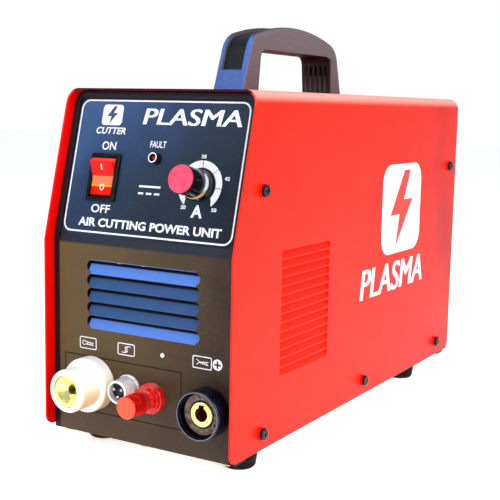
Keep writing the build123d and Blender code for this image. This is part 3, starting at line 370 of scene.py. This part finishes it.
# glossy socket housing: blue-black, with a painted highlight as a thin pale line round its mouth
def socketPlastic():
    look = {"deep": tone("020308"), "pale": tone("0c1224"), "line": tone("6c788c")}
    low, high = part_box("earth_socket_shell")
    made = Finish("socket_black_plastic", Specular_IOR_Level=0.35)
    colour = made.blend(made.grain(8 * mm, 3.0).above(0.35, 0.7), look["deep"], look["pale"])
    away = made.fromAxis((low + high) / 2)
    radius = (high.z - low.z) / 2
    # painted highlight: a thin pale ring round the mouth
    rim = away.above(radius - 1.5 * mm, radius - 1.3 * mm)
    rim = rim * away.below(radius - 1.0 * mm, radius - 0.8 * mm)
    rim = rim * made.y.below(low.y + 0.3 * mm, low.y + 0.6 * mm)
    made.feed("Base Color", made.blend(rim, colour, look["line"]))
    made.feed("Roughness", 0.14 + 0.16 * made.grain(10 * mm, 3.0))
    return made.bump(made.grain(0.4 * mm), 0.008 * mm)


# brass: bright turned faces, with painted shade dark down the torch's bore and amber in the keyed socket
def brassTurned():
    look = {"bright": tone("fff2a0"), "dull": tone("f4d878"), "hole": tone("1c0c02"), "amber": tone("8a5208")}
    made = Finish("brass_turned", Metallic=0.75)
    torch, earth = middleOf("torch_brass_union"), middleOf("earth_socket_contact")
    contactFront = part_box("earth_socket_contact")[0].y
    colour = made.blend(made.grain(7 * mm, 2.0).above(0.38, 0.7), look["bright"], look["dull"])
    # painted shade: dark down the torch's bore
    colour = made.blend(made.fromAxis(torch).below(2.9 * mm, 3.2 * mm), colour, look["hole"])
    away = made.fromAxis(earth)
    # painted shade: amber down the keyed socket behind the contact's face
    behind = made.y.above(contactFront + 0.2 * mm, contactFront + 0.6 * mm)
    colour = made.blend(behind * away.below(6.6 * mm, 7.0 * mm), colour, look["amber"])
    made.feed("Base Color", colour)
    made.feed("Roughness", 0.16 + 0.2 * made.grain(2 * mm, 3.0))
    return made.bump((away * 8000.0).math("SINE") * 0.3 + made.grain(0.4 * mm), 0.008 * mm)


# grey insulating ring: speckled, with painted shade darkening round the brass contact
def greyRing():
    look = {"deep": tone("5c4a40"), "pale": tone("8c7464"), "dark": tone("0a0806"),
            "fleck": tone("b8a898")}
    earth = middleOf("earth_socket_insulator")
    made = Finish("grey_plastic_ring", Specular_IOR_Level=0.25)
    colour = made.blend(made.grain(3 * mm, 3.0).above(0.35, 0.7), look["deep"], look["pale"])
    colour = made.blend(made.grain(1.1 * mm, 5.0, 0.7).above(0.62, 0.75) * 0.5, colour, look["fleck"])
    # painted shade: dark round the brass contact
    recess = made.fromAxis(earth).below(9.0 * mm, 9.3 * mm)
    made.feed("Base Color", made.blend(recess, colour, look["dark"]))
    made.feed("Roughness", 0.35 + 0.2 * made.grain(4 * mm, 3.0))
    return made.bump(made.grain(0.4 * mm), 0.03 * mm)


# binding post: glossy red, with painted shade dark between the cap's ridges, painted light paler on the cap's
# end, and a painted highlight on faces turned upwards off the cap
def postPlastic():
    look = {"deep": tone("c40810"), "pale": tone("ee2014"), "groove": tone("5a0004"),
            "end": tone("f84c24"), "shine": tone("ff8478")}
    low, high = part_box("post_cap")
    made = Finish("post_red_plastic", Specular_IOR_Level=0.5)
    colour = made.blend(made.grain(4 * mm, 3.0).above(0.35, 0.7), look["deep"], look["pale"])
    spot = (low + high) / 2
    turn = (made.z - spot[2]).math("ARCTAN2", made.x - spot[0])
    ridge = (turn * 38.0).math("COSINE").above(0.0, 0.7)
    onCap = made.y.below(high.y - 2.6 * mm, high.y - 2.2 * mm)
    grip = onCap * made.y.above(low.y + 1.2 * mm, low.y + 1.5 * mm)
    grip = grip * made.fromAxis(spot).above(6.5 * mm, 6.8 * mm)
    # painted shade between the cap's ridges
    colour = made.blend(grip * ridge, colour, look["groove"])
    # painted light: paler on the cap's end
    colour = made.blend(made.y.below(low.y + 0.2 * mm, low.y + 0.9 * mm), colour, look["end"])
    # painted highlight on faces turned upwards, off the cap
    colour = made.blend(made.facing(2).above(0.7, 0.98) * (1 - onCap) * 0.5, colour, look["shine"])
    made.feed("Base Color", colour)
    made.feed("Roughness", 0.14 + 0.14 * made.grain(5 * mm, 3.0))
    return made.bump(made.grain(0.5 * mm), 0.01 * mm)


# chrome: bright and softly brushed, so that it stays pale beside the dark panel, with a painted warm
# reflection where it faces down and painted shade on the bezel's sides
def chromePlate():
    look = {"bright": tone("ffffff"), "dull": tone("e4e0e2"), "warm": tone("d8b8ac"),
            "shade": tone("1c1814")}
    made = Finish("chrome_plating", Metallic=0.35, Specular_IOR_Level=0.8)
    colour = made.blend(made.grain(3 * mm, 3.0).above(0.38, 0.7), look["bright"], look["dull"])
    # painted reflection: warm where it faces down
    colour = made.blend((made.facing(2) * -1).above(0.2, 0.9) * 0.7, colour, look["warm"])
    # painted shade on the bezel's sides
    bezelSide = made.z.above(kneeZ, kneeZ + 1 * mm) * (made.facing(1) * -1).below(0.75, 0.92)
    made.feed("Base Color", made.blend(bezelSide, colour, look["shade"]))
    made.feed("Roughness", 0.12 + 0.14 * made.grain(2 * mm, 3.0))
    return made.bump(made.grain(0.4 * mm), 0.008 * mm)


# screws: black heads, with a painted reflection of the case's red round their lower part
def screwBlack():
    look = {"head": tone("060709"), "dull": tone("12151c"), "collar": tone("d80c14")}
    made = Finish("black_screw_oxide", Specular_IOR_Level=0.35)
    colour = made.blend(made.grain(2 * mm, 3.0).above(0.38, 0.7), look["head"], look["dull"])
    # painted reflection: the case's red on the lower part of each head
    collar = abs(made.x).below(coverHigh.x + 1.9 * mm, coverHigh.x + 2.0 * mm)
    colour = made.blend(collar, colour, look["collar"])
    made.feed("Base Color", colour)
    made.feed("Roughness", 0.16 + 0.2 * made.grain(2 * mm, 3.0))
    return made.bump(made.grain(0.3 * mm), 0.01 * mm)


# grain size, texture size, texture depth and roughness range follow the two colours
finishes = {
    "red_coat": redCoat(),
    "black_moulding": moulding(),
    "label_film": labelFilm(),
    "handle_plastic": handlePlastic(),
    "black_sheet": mottled("black_sheet_plastic", tone("2e2620"), tone("4a3e30"),
                           20 * mm, 0.5 * mm, 0.04 * mm, (0.42, 0.6)),
    "rubber": mottled("rubber_foot", tone("0a0405"), tone("1a0e10"),
                      5 * mm, 0.4 * mm, 0.05 * mm, (0.55, 0.8), tone("4a403c"), Specular_IOR_Level=0.15),
    "switch_black": mottled("switch_black_plastic", tone("040608"), tone("0c1014"),
                            6 * mm, 0.3 * mm, 0.01 * mm, (0.2, 0.36), Specular_IOR_Level=0.14),
    "switch_red": rockerPlastic(),
    "knob_black": mottled("knob_black_plastic", tone("08080c"), tone("16161c"),
                          6 * mm, 0.4 * mm, 0.006 * mm, (0.08, 0.2), Specular_IOR_Level=0.5),
    "cap_red": mottled("cap_red_plastic", tone("ff3858"), tone("ff4e6c"),
                       5 * mm, 0.4 * mm, 0.03 * mm, (0.35, 0.5)),
    "post_red": postPlastic(),
    "socket_black": socketPlastic(),
    "grey_plastic": greyRing(),
    "white_nylon": nylon(),
    "fan_black": mottled("fan_black_plastic", tone("16161a"), tone("26262c"),
                         8 * mm, 0.5 * mm, 0.03 * mm, (0.4, 0.6), tone("50504e")),
    "hose_blue": mottled("hose_blue_tube", tone("1c4c9c"), tone("3870c0"),
                         6 * mm, 0.5 * mm, 0.02 * mm, (0.25, 0.4)),
    "board_green": mottled("board_green_lacquer", tone("0e4a26"), tone("1a6a38"),
                           7 * mm, 0.6 * mm, 0.03 * mm, (0.2, 0.4)),
    "part_black": mottled("part_black_epoxy", tone("1c1a24"), tone("30303c"),
                          7 * mm, 0.5 * mm, 0.02 * mm, (0.3, 0.5)),
    "ferrite": mottled("ferrite_core", tone("26262a"), tone("44444a"),
                       3 * mm, 0.3 * mm, 0.05 * mm, (0.4, 0.6)),
    "led_red": mottled("led_red_lens", tone("c80408"), tone("f01410"),
                       1.2 * mm, 0.4 * mm, 0.006 * mm, (0.08, 0.16), Specular_IOR_Level=0.3),
    "black_screws": screwBlack(),
    "zinc_screws": metal("zinc_screw_yellow", tone("d8c478"), tone("a89860"), 2 * mm),
    "zinc_plate": metal("zinc_plate_sheet", tone("c4c6c8"), tone("8c9094"),
                        12 * mm, (8, 1, 1), (0.3, 0.5)),
    "chrome": chromePlate(),
    "nickel": metal("nickel_plating", tone("e6dcd0"), tone("b8aca0"), 2 * mm, rough=(0.12, 0.28)),
    "steel": metal("steel_bare", tone("b8b8b8"), tone("7c7c80"), 3 * mm, rough=(0.25, 0.45)),
    "brass": brassTurned(),
    "copper": metal("copper_strap", tone("e8946c"), tone("a05a3c"), 3 * mm, rough=(0.2, 0.4)),
    "aluminium": metal("aluminium_extrusion", tone("d4d6d8"), tone("a4a8ac"),
                       6 * mm, (1, 10, 1), (0.3, 0.5)),
}
for node in frame["nodes"].values():
    for slot in node.material_slots:
        slot.material = finishes[slot.material.name.split(".")[0]].material
print("materials on", len(frame["nodes"]), "nodes")


def ink(name, deep, pale):
    return mottled(name, tone(deep), tone(pale), 2 * mm, 0.3 * mm, 0.004 * mm, (0.35, 0.5)).material


whiteInk = ink("white_ink", "e8eaee", "ffffff")
darkInk = ink("dark_ink", "10131c", "1c2230")
redInk = ink("red_ink", "f02c20", "ff3828")
navyInk = ink("navy_ink", "2c3c58", "3c5478")


# places of a node's points, one row each
def nodePoints(name):
    mesh = frame["nodes"][name].data
    points = np.zeros(len(mesh.vertices) * 3)
    mesh.vertices.foreach_get("co", points)
    return points.reshape(-1, 3)


# a face that printing lies on: its origin, with right and up along it and out away from it
def face(origin, right, up):
    right, up = np.array(right, float), np.array(up, float)
    return {"origin": np.array(origin, float), "right": right, "up": up, "out": np.cross(right, up)}


labelPoints = nodePoints("control_label")
labelFace = face([0, 0, 0], (1, 0, 0), slopeUp)
labelFace["origin"] = slopeUp * (labelPoints @ slopeUp).min() + slopeOut * (labelPoints @ slopeOut).max()
lowerFace = face([0, plateLow.y, coverLow.z], (1, 0, 0), (0, 0, 1))
sideFaces = {
    "right": face([coverHigh.x, 0, coverLow.z], (0, 1, 0), (0, 0, 1)),
    "left": face([coverLow.x, 0, coverLow.z], (0, -1, 0), (0, 0, 1)),
}


# flat points put on a face: the origin plus so much right, so much up and height outwards
def lay(place, flat, height=0.0):
    flat = np.asarray(flat, float)
    along = flat[:, :1] * place["right"] + flat[:, 1:2] * place["up"]
    return place["origin"] + along + height * place["out"]


# a piece from its points and faces, given a wall outwards where thick is set
def makePiece(name, points, faces, material, body="case", thick=0.0, smooth=False):
    mesh = bpy.data.meshes.new(name)
    mesh.from_pydata(points.tolist(), [], [list(f) for f in faces])
    mesh.update()
    mesh.materials.append(material)
    piece = bpy.data.objects.new(name, mesh)
    bpy.context.scene.collection.objects.link(piece)
    if smooth:
        mesh.polygons.foreach_set("use_smooth", np.ones(len(mesh.polygons), bool))
    if thick:
        wall = piece.modifiers.new("ink", "SOLIDIFY")
        wall.thickness = thick
        wall.offset = 1.0
    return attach(piece, body)


# quads of a grid with rows points across and columns points along, row by row
def gridFaces(rows, columns, closed=False):
    last = columns if closed else columns - 1
    i, j = np.meshgrid(np.arange(rows - 1), np.arange(last), indexing="ij")
    k = (j + 1) % columns
    here, above = i * columns, (i + 1) * columns
    return np.stack([here + j, here + k, above + k, above + j], -1).reshape(-1, 4)


# a rounded rectangle: four quarter circles joined by straight runs
def roundedPath(low, high, radius, steps=10):
    turn = np.linspace(0, math.pi / 2, steps)
    corners = [(high[0] - radius, high[1] - radius, 0), (low[0] + radius, high[1] - radius, 1),
               (low[0] + radius, low[1] + radius, 2), (high[0] - radius, low[1] + radius, 3)]
    arcs = [(x, y, turn + quarter * math.pi / 2) for x, y, quarter in corners]
    return np.concatenate([np.stack([x + radius * np.cos(angle), y + radius * np.sin(angle)], -1)
                           for x, y, angle in arcs])


# a line of even width: each point of the path moved half the width to either side of it
def lineStrip(path, width, closed=False):
    path = np.asarray(path, float)
    if closed:
        along = np.roll(path, -1, 0) - np.roll(path, 1, 0)
    else:
        along = np.gradient(path, axis=0)
    along /= np.linalg.norm(along, axis=1, keepdims=True)
    across = np.stack([-along[:, 1], along[:, 0]], -1) * width / 2
    return np.concatenate([path + across, path - across]), gridFaces(2, len(path), closed)[:, ::-1]


# a flat ring between two radii, whose inner one may be a function of the angle
def ringStrip(centre, inner, outer, start=0.0, end=2 * math.pi, steps=64, closed=True):
    angle = np.linspace(start, end, steps, endpoint=not closed)
    ray = np.stack([np.cos(angle), np.sin(angle)], -1)
    inner = np.broadcast_to(inner(angle) if callable(inner) else inner, angle.shape)
    points = np.concatenate([centre + ray * outer, centre + ray * inner[:, None]])
    return points, gridFaces(2, steps, closed)[:, ::-1]


# several flat shapes as one, with each one's faces counted on from the points before it
def joined(parts):
    points, faces, start = [], [], 0
    for p, f in parts:
        points.append(np.asarray(p, float))
        faces += [[i + start for i in one] for one in f]
        start += len(p)
    return np.concatenate(points), faces


inkHigh = 0.03 * mm    # from the face to the ink's back
inkThick = 0.04 * mm
onTop = inkHigh + inkThick + 0.01 * mm   # height of ink printed over other ink
pinhole = 0.01   # a disc is a ring round this


def printOn(name, place, parts, material=whiteInk, high=inkHigh):
    points, faces = joined(parts)
    return makePiece(name, lay(place, points * mm, high), faces, material, thick=inkThick)


# text made a mesh, then stretched to fill a box given by its left, right, bottom and top;
# strike prints it three times, that far apart, for a bolder line
def lettering(name, place, text, box, weight=0.0, slope=0.0, strike=0.0, body="case"):
    curve = bpy.data.curves.new(name + "_line", "FONT")
    curve.body = text
    curve.offset = weight
    curve.shear = slope
    curve.resolution_u = 4
    holder = bpy.data.objects.new(name + "_holder", curve)
    bpy.context.scene.collection.objects.link(holder)
    bpy.context.view_layer.update()
    solved = holder.evaluated_get(bpy.context.evaluated_depsgraph_get())
    mesh = bpy.data.meshes.new_from_object(solved)
    bpy.data.objects.remove(holder)
    points = np.zeros(len(mesh.vertices) * 3)
    mesh.vertices.foreach_get("co", points)
    flat = points.reshape(-1, 3)[:, :2]
    low, high = flat.min(0), flat.max(0)
    target = np.array([[box[0], box[2]], [box[1], box[3]]]) * mm
    flat = target[0] + (flat - low) / (high - low) * (target[1] - target[0])
    faces = [list(p.vertices) for p in mesh.polygons]
    bpy.data.meshes.remove(mesh)
    shifts = (-strike, 0.0, strike) if strike else (0.0,)
    copies = [(lay(place, flat + (shift * mm, 0), inkHigh + i * 0.03 * mm), faces)   # each a hair higher
              for i, shift in enumerate(shifts)]
    points, faces = joined(copies)
    return makePiece(name, points, faces, whiteInk, body, inkThick)


# printing on the sloped label, with heights from the label's lower edge
labelBorder = {"low": (-67.0, 2.0), "high": (66.4, 91.4), "radius": 6.0, "line": 1.1}
outline = roundedPath(labelBorder["low"], labelBorder["high"], labelBorder["radius"])
printOn("label_border", labelFace, [lineStrip(outline, labelBorder["line"], True)])
labelWords = {
    "on": {"text": "ON", "box": (-45.0, -33.4, 57.7, 63.4), "weight": 0.012},
    "off": {"text": "OFF", "box": (-46.0, -30.4, 15.2, 20.8), "weight": 0.012},
    "title": {"text": "PLASMA", "box": (-14.0, 61.5, 75.8, 86.6), "slope": 0.12, "strike": 0.5},
    "fault": {"text": "FAULT", "box": (-5.6, 7.0, 60.6, 65.0), "weight": 0.01},
    "line": {"text": "AIR CUTTING POWER UNIT", "box": (-55.0, 58.5, 5.8, 11.6), "weight": 0.03},
    "amps": {"text": "A", "box": (33.8, 42.2, 17.2, 25.4), "weight": 0.03},
    "word": {"text": "CUTTER", "box": (-52.0, -27.4, 68.6, 73.2), "weight": 0.02, "slope": 0.2},
}
for name, word in labelWords.items():
    lettering("label_" + name, labelFace, **word)
dialNumbers = {"20": (27.3, 23.4), "35": (37.3, 56.4), "42": (56.8, 43.2), "50": (50.4, 23.0)}
for number, (x, v) in dialNumbers.items():
    lettering("label_" + number, labelFace, number, (x - 1.9, x + 1.9, v - 1.2, v + 1.2), 0.03)

# a plain spark on a rounded tile, and the sign for direct current
spark = [(0.6, 5.8), (-4.4, -0.9), (-0.9, -0.9), (-2.2, -6.0), (4.2, 1.3), (0.7, 1.3), (3.0, 5.8)]


def sparkMark(centre, size):
    points = np.array(spark) * size + centre
    return points, [[6, 5, 0], [0, 5, 2], [0, 2, 1], [5, 4, 2], [4, 3, 2]]


def tile(centre, half, corner):
    path = roundedPath(np.array(centre) - half, np.array(centre) + half, corner, 12)
    return path, [list(range(len(path)))]


def sparkTile(name, place, centre, half, corner, size, sparkInk):
    printOn(name, place, [tile(centre, half, corner)])
    printOn(name + "_spark", place, [sparkMark(centre, size)], sparkInk, onTop)


sparkTile("label_mark", labelFace, (-40.3, 81.6), (8.4, 7.0), 2.6, 1.02, navyInk)
directCurrent = [lineStrip([(-9.5, 34.8), (7.5, 34.8)], 1.3)]
directCurrent += [lineStrip([(x, 30.2), (x + 4.2, 30.2)], 1.3) for x in (-9.5, -3.1, 3.3)]
printOn("label_dc", labelFace, directCurrent)

# the dial's scale: white sectors between ticks, drawn out to a point at both ends
dial = {"inner": 11.6, "outer": 16.2, "start": -52.0, "end": 232.0, "ticks": 7,
        "gap": 0.9, "taper": 13.0}
onLabel = dialSpot - labelFace["origin"]
knobCentre = np.array([onLabel @ labelFace["right"], onLabel @ labelFace["up"]]) / mm


# inner radius: the outer one at both ends, falling evenly to the ring's own over the taper
def dialInner(angle):
    near = np.minimum(np.degrees(angle) - dial["start"], dial["end"] - np.degrees(angle))
    return np.interp(near, [0, dial["taper"]], [dial["outer"] - 0.05, dial["inner"]])


ticks = np.linspace(dial["start"], dial["end"], dial["ticks"])
printOn("dial_scale", labelFace, [
    ringStrip(knobCentre, dialInner, dial["outer"],
              math.radians(a + dial["gap"]), math.radians(b - dial["gap"]), 20, False)
    for a, b in zip(ticks[:-1], ticks[1:])])


# polished ring round the knob's foot: a rounded profile carried about the knob's axis
knobRing = {"low": 4.6, "high": 8.4, "radius": 9.25, "crown": 0.5, "around": 72, "along": 9}
angle, rise = np.meshgrid(np.linspace(0, 2 * math.pi, knobRing["around"], endpoint=False),
                          np.linspace(0, 1, knobRing["along"]))
reach = knobRing["radius"] + knobRing["crown"] * np.sin(math.pi * rise)
level = knobRing["low"] + (knobRing["high"] - knobRing["low"]) * rise
knobFoot = dialSpot + slopeOut * ((labelPoints @ slopeOut).max() - 0.25 * mm - dialSpot @ slopeOut)
ringPoints = (np.stack([reach * np.cos(angle), reach * np.sin(angle), level], -1) * mm).reshape(-1, 3)
ringPoints = (knobFoot + ringPoints[:, :1] * (1, 0, 0) + ringPoints[:, 1:2] * slopeUp
              + ringPoints[:, 2:] * slopeOut)


# dark polish with painted reflections: a pale sky on its right and a warm gold glint below
def ringPolish():
    look = {"dark": tone("08080c"), "sky": tone("d8f0fa"), "gold": tone("d8b070")}
    made = Finish("knob_ring_polish", Metallic=0.3, Specular_IOR_Level=0.8)
    right, down = made.facing(0), made.facing(2) * -1
    colour = made.blend(right.above(0.6, 0.85) * down.below(0.2, 0.6), look["dark"], look["sky"])
    colour = made.blend(down.above(0.35, 0.6) * right.above(-0.6, -0.2), colour, look["gold"])
    made.feed("Base Color", colour)
    made.feed("Roughness", 0.1 + 0.1 * made.grain(2 * mm, 3.0))
    return made.bump(made.grain(0.3 * mm), 0.006 * mm)


ringFaces = gridFaces(knobRing["along"], knobRing["around"], True)
makePiece("knob_ring", ringPoints, ringFaces, ringPolish().material, "knob", smooth=True)
print("label printed")

# printing on the lower face, with heights from the case's lower edge
signs = {"torch": (-51.0, -37.2), "pilot": (-18.7, -5.2), "work": (41.0, 54.9)}   # left and right
signBox = {"low": 56.6, "high": 64.2, "middle": 60.4, "corner": 1.0, "line": 0.62}
arc = np.linspace(0.5, 5.6, 16)
hook = np.stack([1.5 * np.cos(arc) - 3.4, 1.4 * np.sin(arc)], -1)
thin, stroke = 0.45, 0.5
drawings = {
    "torch": [lineStrip(hook, stroke), lineStrip([(-2.0, 0.9), (4.6, 0.3)], stroke),
              lineStrip([(-2.2, -0.9), (4.8, -1.2)], stroke)]
             + [lineStrip([(x, 0.7), (x + 0.5, -1.0)], thin) for x in (-1.0, 0.4, 1.8, 3.2)],
    "pilot": [ringStrip((0, 0.9), 0.6, 1.15, steps=20), ringStrip((0, -0.9), 0.6, 1.15, steps=20),
              lineStrip([(0.5, 2.1), (3.6, 2.1)], stroke), lineStrip([(-3.6, -2.1), (-0.5, -2.1)], stroke)],
    "work": [lineStrip([(-4.2, 1.9), (-2.0, 0.2), (-4.2, -1.6)], stroke),
             lineStrip([(-2.0, 0.2), (4.6, 0.7)], stroke), lineStrip([(-2.0, -0.1), (4.6, -1.3)], stroke)]
            + [lineStrip([(x, 0.2), (x + 0.3, -1.0)], thin) for x in (0.2, 1.8, 3.4)],
}
for name, (left, right) in signs.items():
    middle = np.array([(left + right) / 2, signBox["middle"]])
    outline = roundedPath((left, signBox["low"]), (right, signBox["high"]), signBox["corner"], 6)
    border = lineStrip(outline, signBox["line"], True)
    printOn("sign_" + name, lowerFace, [border] + [(p + middle, f) for p, f in drawings[name]])
printOn("sign_dot", lowerFace, [ringStrip((17.2, 60.6), pinhole, 1.5, steps=32)])
plus = [lineStrip([(57.0, 60.5), (61.8, 60.5)], 1.1), lineStrip([(59.4, 58.1), (59.4, 62.9)], 1.1)]
printOn("sign_positive", lowerFace, [ringStrip((59.4, 60.5), pinhole, 3.6, steps=40)])
printOn("sign_plus", lowerFace, plus, darkInk, onTop)

# the same plain mark on both sides of the case
badge = {"middle": (68.0, 141.0), "half": (40.0, 36.0), "corner": 15.0, "spark": 5.3,
         "word": (-8.0, 118.0), "line": (75.0, 98.5)}
for side, place in sideFaces.items():
    turn = 1 if side == "right" else -1   # the left side is the right one's mirror
    middle = np.array(badge["middle"]) * (turn, 1)
    sparkTile("side_mark_" + side, place, middle, badge["half"], badge["corner"], badge["spark"], redInk)
    span = sorted(turn * end for end in badge["word"])
    lettering("side_word_" + side, place, "PLASMA", (*span, *badge["line"]), slope=0.15, strike=0.9)

# the rocker's signs, each on its own half of the rocker
rockerPoints = nodePoints("switch_rocker") - rockerSpot
rockerSide = np.stack([rockerPoints @ slopeUp, rockerPoints @ slopeOut], -1)


# highest point of the rocker near a place up the slope
def rockerTop(low, high):
    near = rockerSide[(rockerSide[:, 0] > low * mm) & (rockerSide[:, 0] < high * mm)]
    return near[near[:, 1].argmax()]


rockerSigns = {   # the reach of each half, the sign's place along it and its width and height
    "on": {"text": "I", "half": (6, 14), "along": 7.2, "size": (0.9, 4.2), "way": 1},
    "off": {"text": "O", "half": (-14, -6), "along": 6.6, "size": (3.6, 4.4), "way": -1},
}
valley = rockerTop(-2.5, 2.5)
for name, sign in rockerSigns.items():
    ray = rockerTop(*sign["half"]) - valley
    ray = ray / np.linalg.norm(ray)
    across, out = valley + ray * sign["along"] * mm
    spot = rockerSpot + across * slopeUp + out * slopeOut
    half = face(spot, (1, 0, 0), sign["way"] * (ray[0] * slopeUp + ray[1] * slopeOut))
    wide, tall = sign["size"]
    box = (-wide / 2, wide / 2, -tall / 2, tall / 2)
    lettering("rocker_" + name, half, sign["text"], box, weight=0.01, body="rocker")
print("signs printed")


# a soft rectangular lamp, turned towards a point
def addLamp(name, aim, spot, size, power, colour):
    lamp = bpy.data.lights.new(name, "AREA")
    lamp.shape = "RECTANGLE"
    lamp.size, lamp.size_y = size
    lamp.energy = power
    lamp.color = colour
    holder = bpy.data.objects.new(name, lamp)
    holder.location = spot
    holder.rotation_euler = (Vector(aim) - Vector(spot)).to_track_quat("-Z", "Y").to_euler()
    bpy.context.scene.collection.objects.link(holder)


lamps = {   # metres and watts
    "softbox_right": {"spot": (1.3, -0.5, 0.75), "size": (0.9, 0.9), "power": 18.0,
                      "colour": (1.0, 0.97, 0.93)},
    "softbox_front": {"spot": (-0.5, -1.4, 0.9), "size": (0.8, 0.8), "power": 8.0,
                      "colour": (0.92, 0.95, 1.0)},
    "softbox_top": {"spot": (0.2, 0.1, 1.5), "size": (0.9, 0.9), "power": 8.0,
                    "colour": (0.9, 0.95, 1.0)},
    "strip_left": {"spot": (-1.2, -0.4, 0.5), "size": (0.3, 1.2), "power": 4.0,
                   "colour": (0.85, 0.92, 1.0)},
}
for name, lamp in lamps.items():
    addLamp(name, (coverLow + coverHigh) / 2, **lamp)

# white to the eye, and a dimmer room, cool above and warm at the horizon, to light the object
room = {"warm": (0.46, 0.42, 0.37, 1), "cool": (0.24, 0.31, 0.46, 1), "seen": (1, 1, 1, 1)}
world = bpy.data.worlds.new("studio")
world.use_nodes = True
bpy.context.scene.world = world
studio = Graph(world.node_tree)
direction = studio.add("ShaderNodeTexCoord", out="Generated")
height = studio.add("ShaderNodeSeparateXYZ", {}, {0: direction}, 2)
fill = studio.add("ShaderNodeValToRGB", {"stops": [(0.1, room["warm"]), (0.7, room["cool"])]}, {0: height})
cameraRay = studio.add("ShaderNodeLightPath", out="Is Camera Ray")
backdrop = studio.blend(cameraRay, fill, room["seen"])
studio.tree.links.new(backdrop.socket, studio.tree.nodes["Background"].inputs["Color"])

floorPaper = Finish("floor_paper", Roughness=0.9, Emission_Color=(1.0, 0.97, 0.93, 1),
                    Emission_Strength=0.68)
floorPaper.feed("Base Color", floorPaper.blend(floorPaper.grain(0.4), tone("f6f6f6"), tone("ffffff")))
floorHalf = 6.0
corners = [(-floorHalf, -floorHalf, 0), (floorHalf, -floorHalf, 0),
           (floorHalf, floorHalf, 0), (-floorHalf, floorHalf, 0)]
floorMesh = bpy.data.meshes.new("floor")
floorMesh.from_pydata(corners, [], [(0, 1, 2, 3)])
floorMesh.materials.append(floorPaper.material)
floor = bpy.data.objects.new("floor", floorMesh)
bpy.context.scene.collection.objects.link(floor)

# the camera stands at a spot and looks back along the line given by its three angles, in degrees
view = {"spot": (0.3875, -0.7, 0.2345), "azimuth": 30.69, "down": 8.03, "roll": 1.13, "lens": 72.6}
camera = bpy.data.objects.new("camera", bpy.data.cameras.new("camera"))
turned, down, roll = (math.radians(view[key]) for key in ("azimuth", "down", "roll"))
back = Vector((math.sin(turned) * math.cos(down), -math.cos(turned) * math.cos(down), math.sin(down)))
right = Vector((0, 0, 1)).cross(back).normalized()
tilted = right * math.cos(roll) + back.cross(right) * math.sin(roll)
facing = Matrix((tilted, back.cross(tilted), back)).transposed().to_4x4()
camera.matrix_world = Matrix.Translation(view["spot"]) @ facing
camera.data.lens = view["lens"]
camera.data.clip_start = 0.02
bpy.context.scene.collection.objects.link(camera)
bpy.context.scene.camera = camera
bpy.context.scene.view_settings.view_transform = "Standard"
print("stage, light and camera ready")
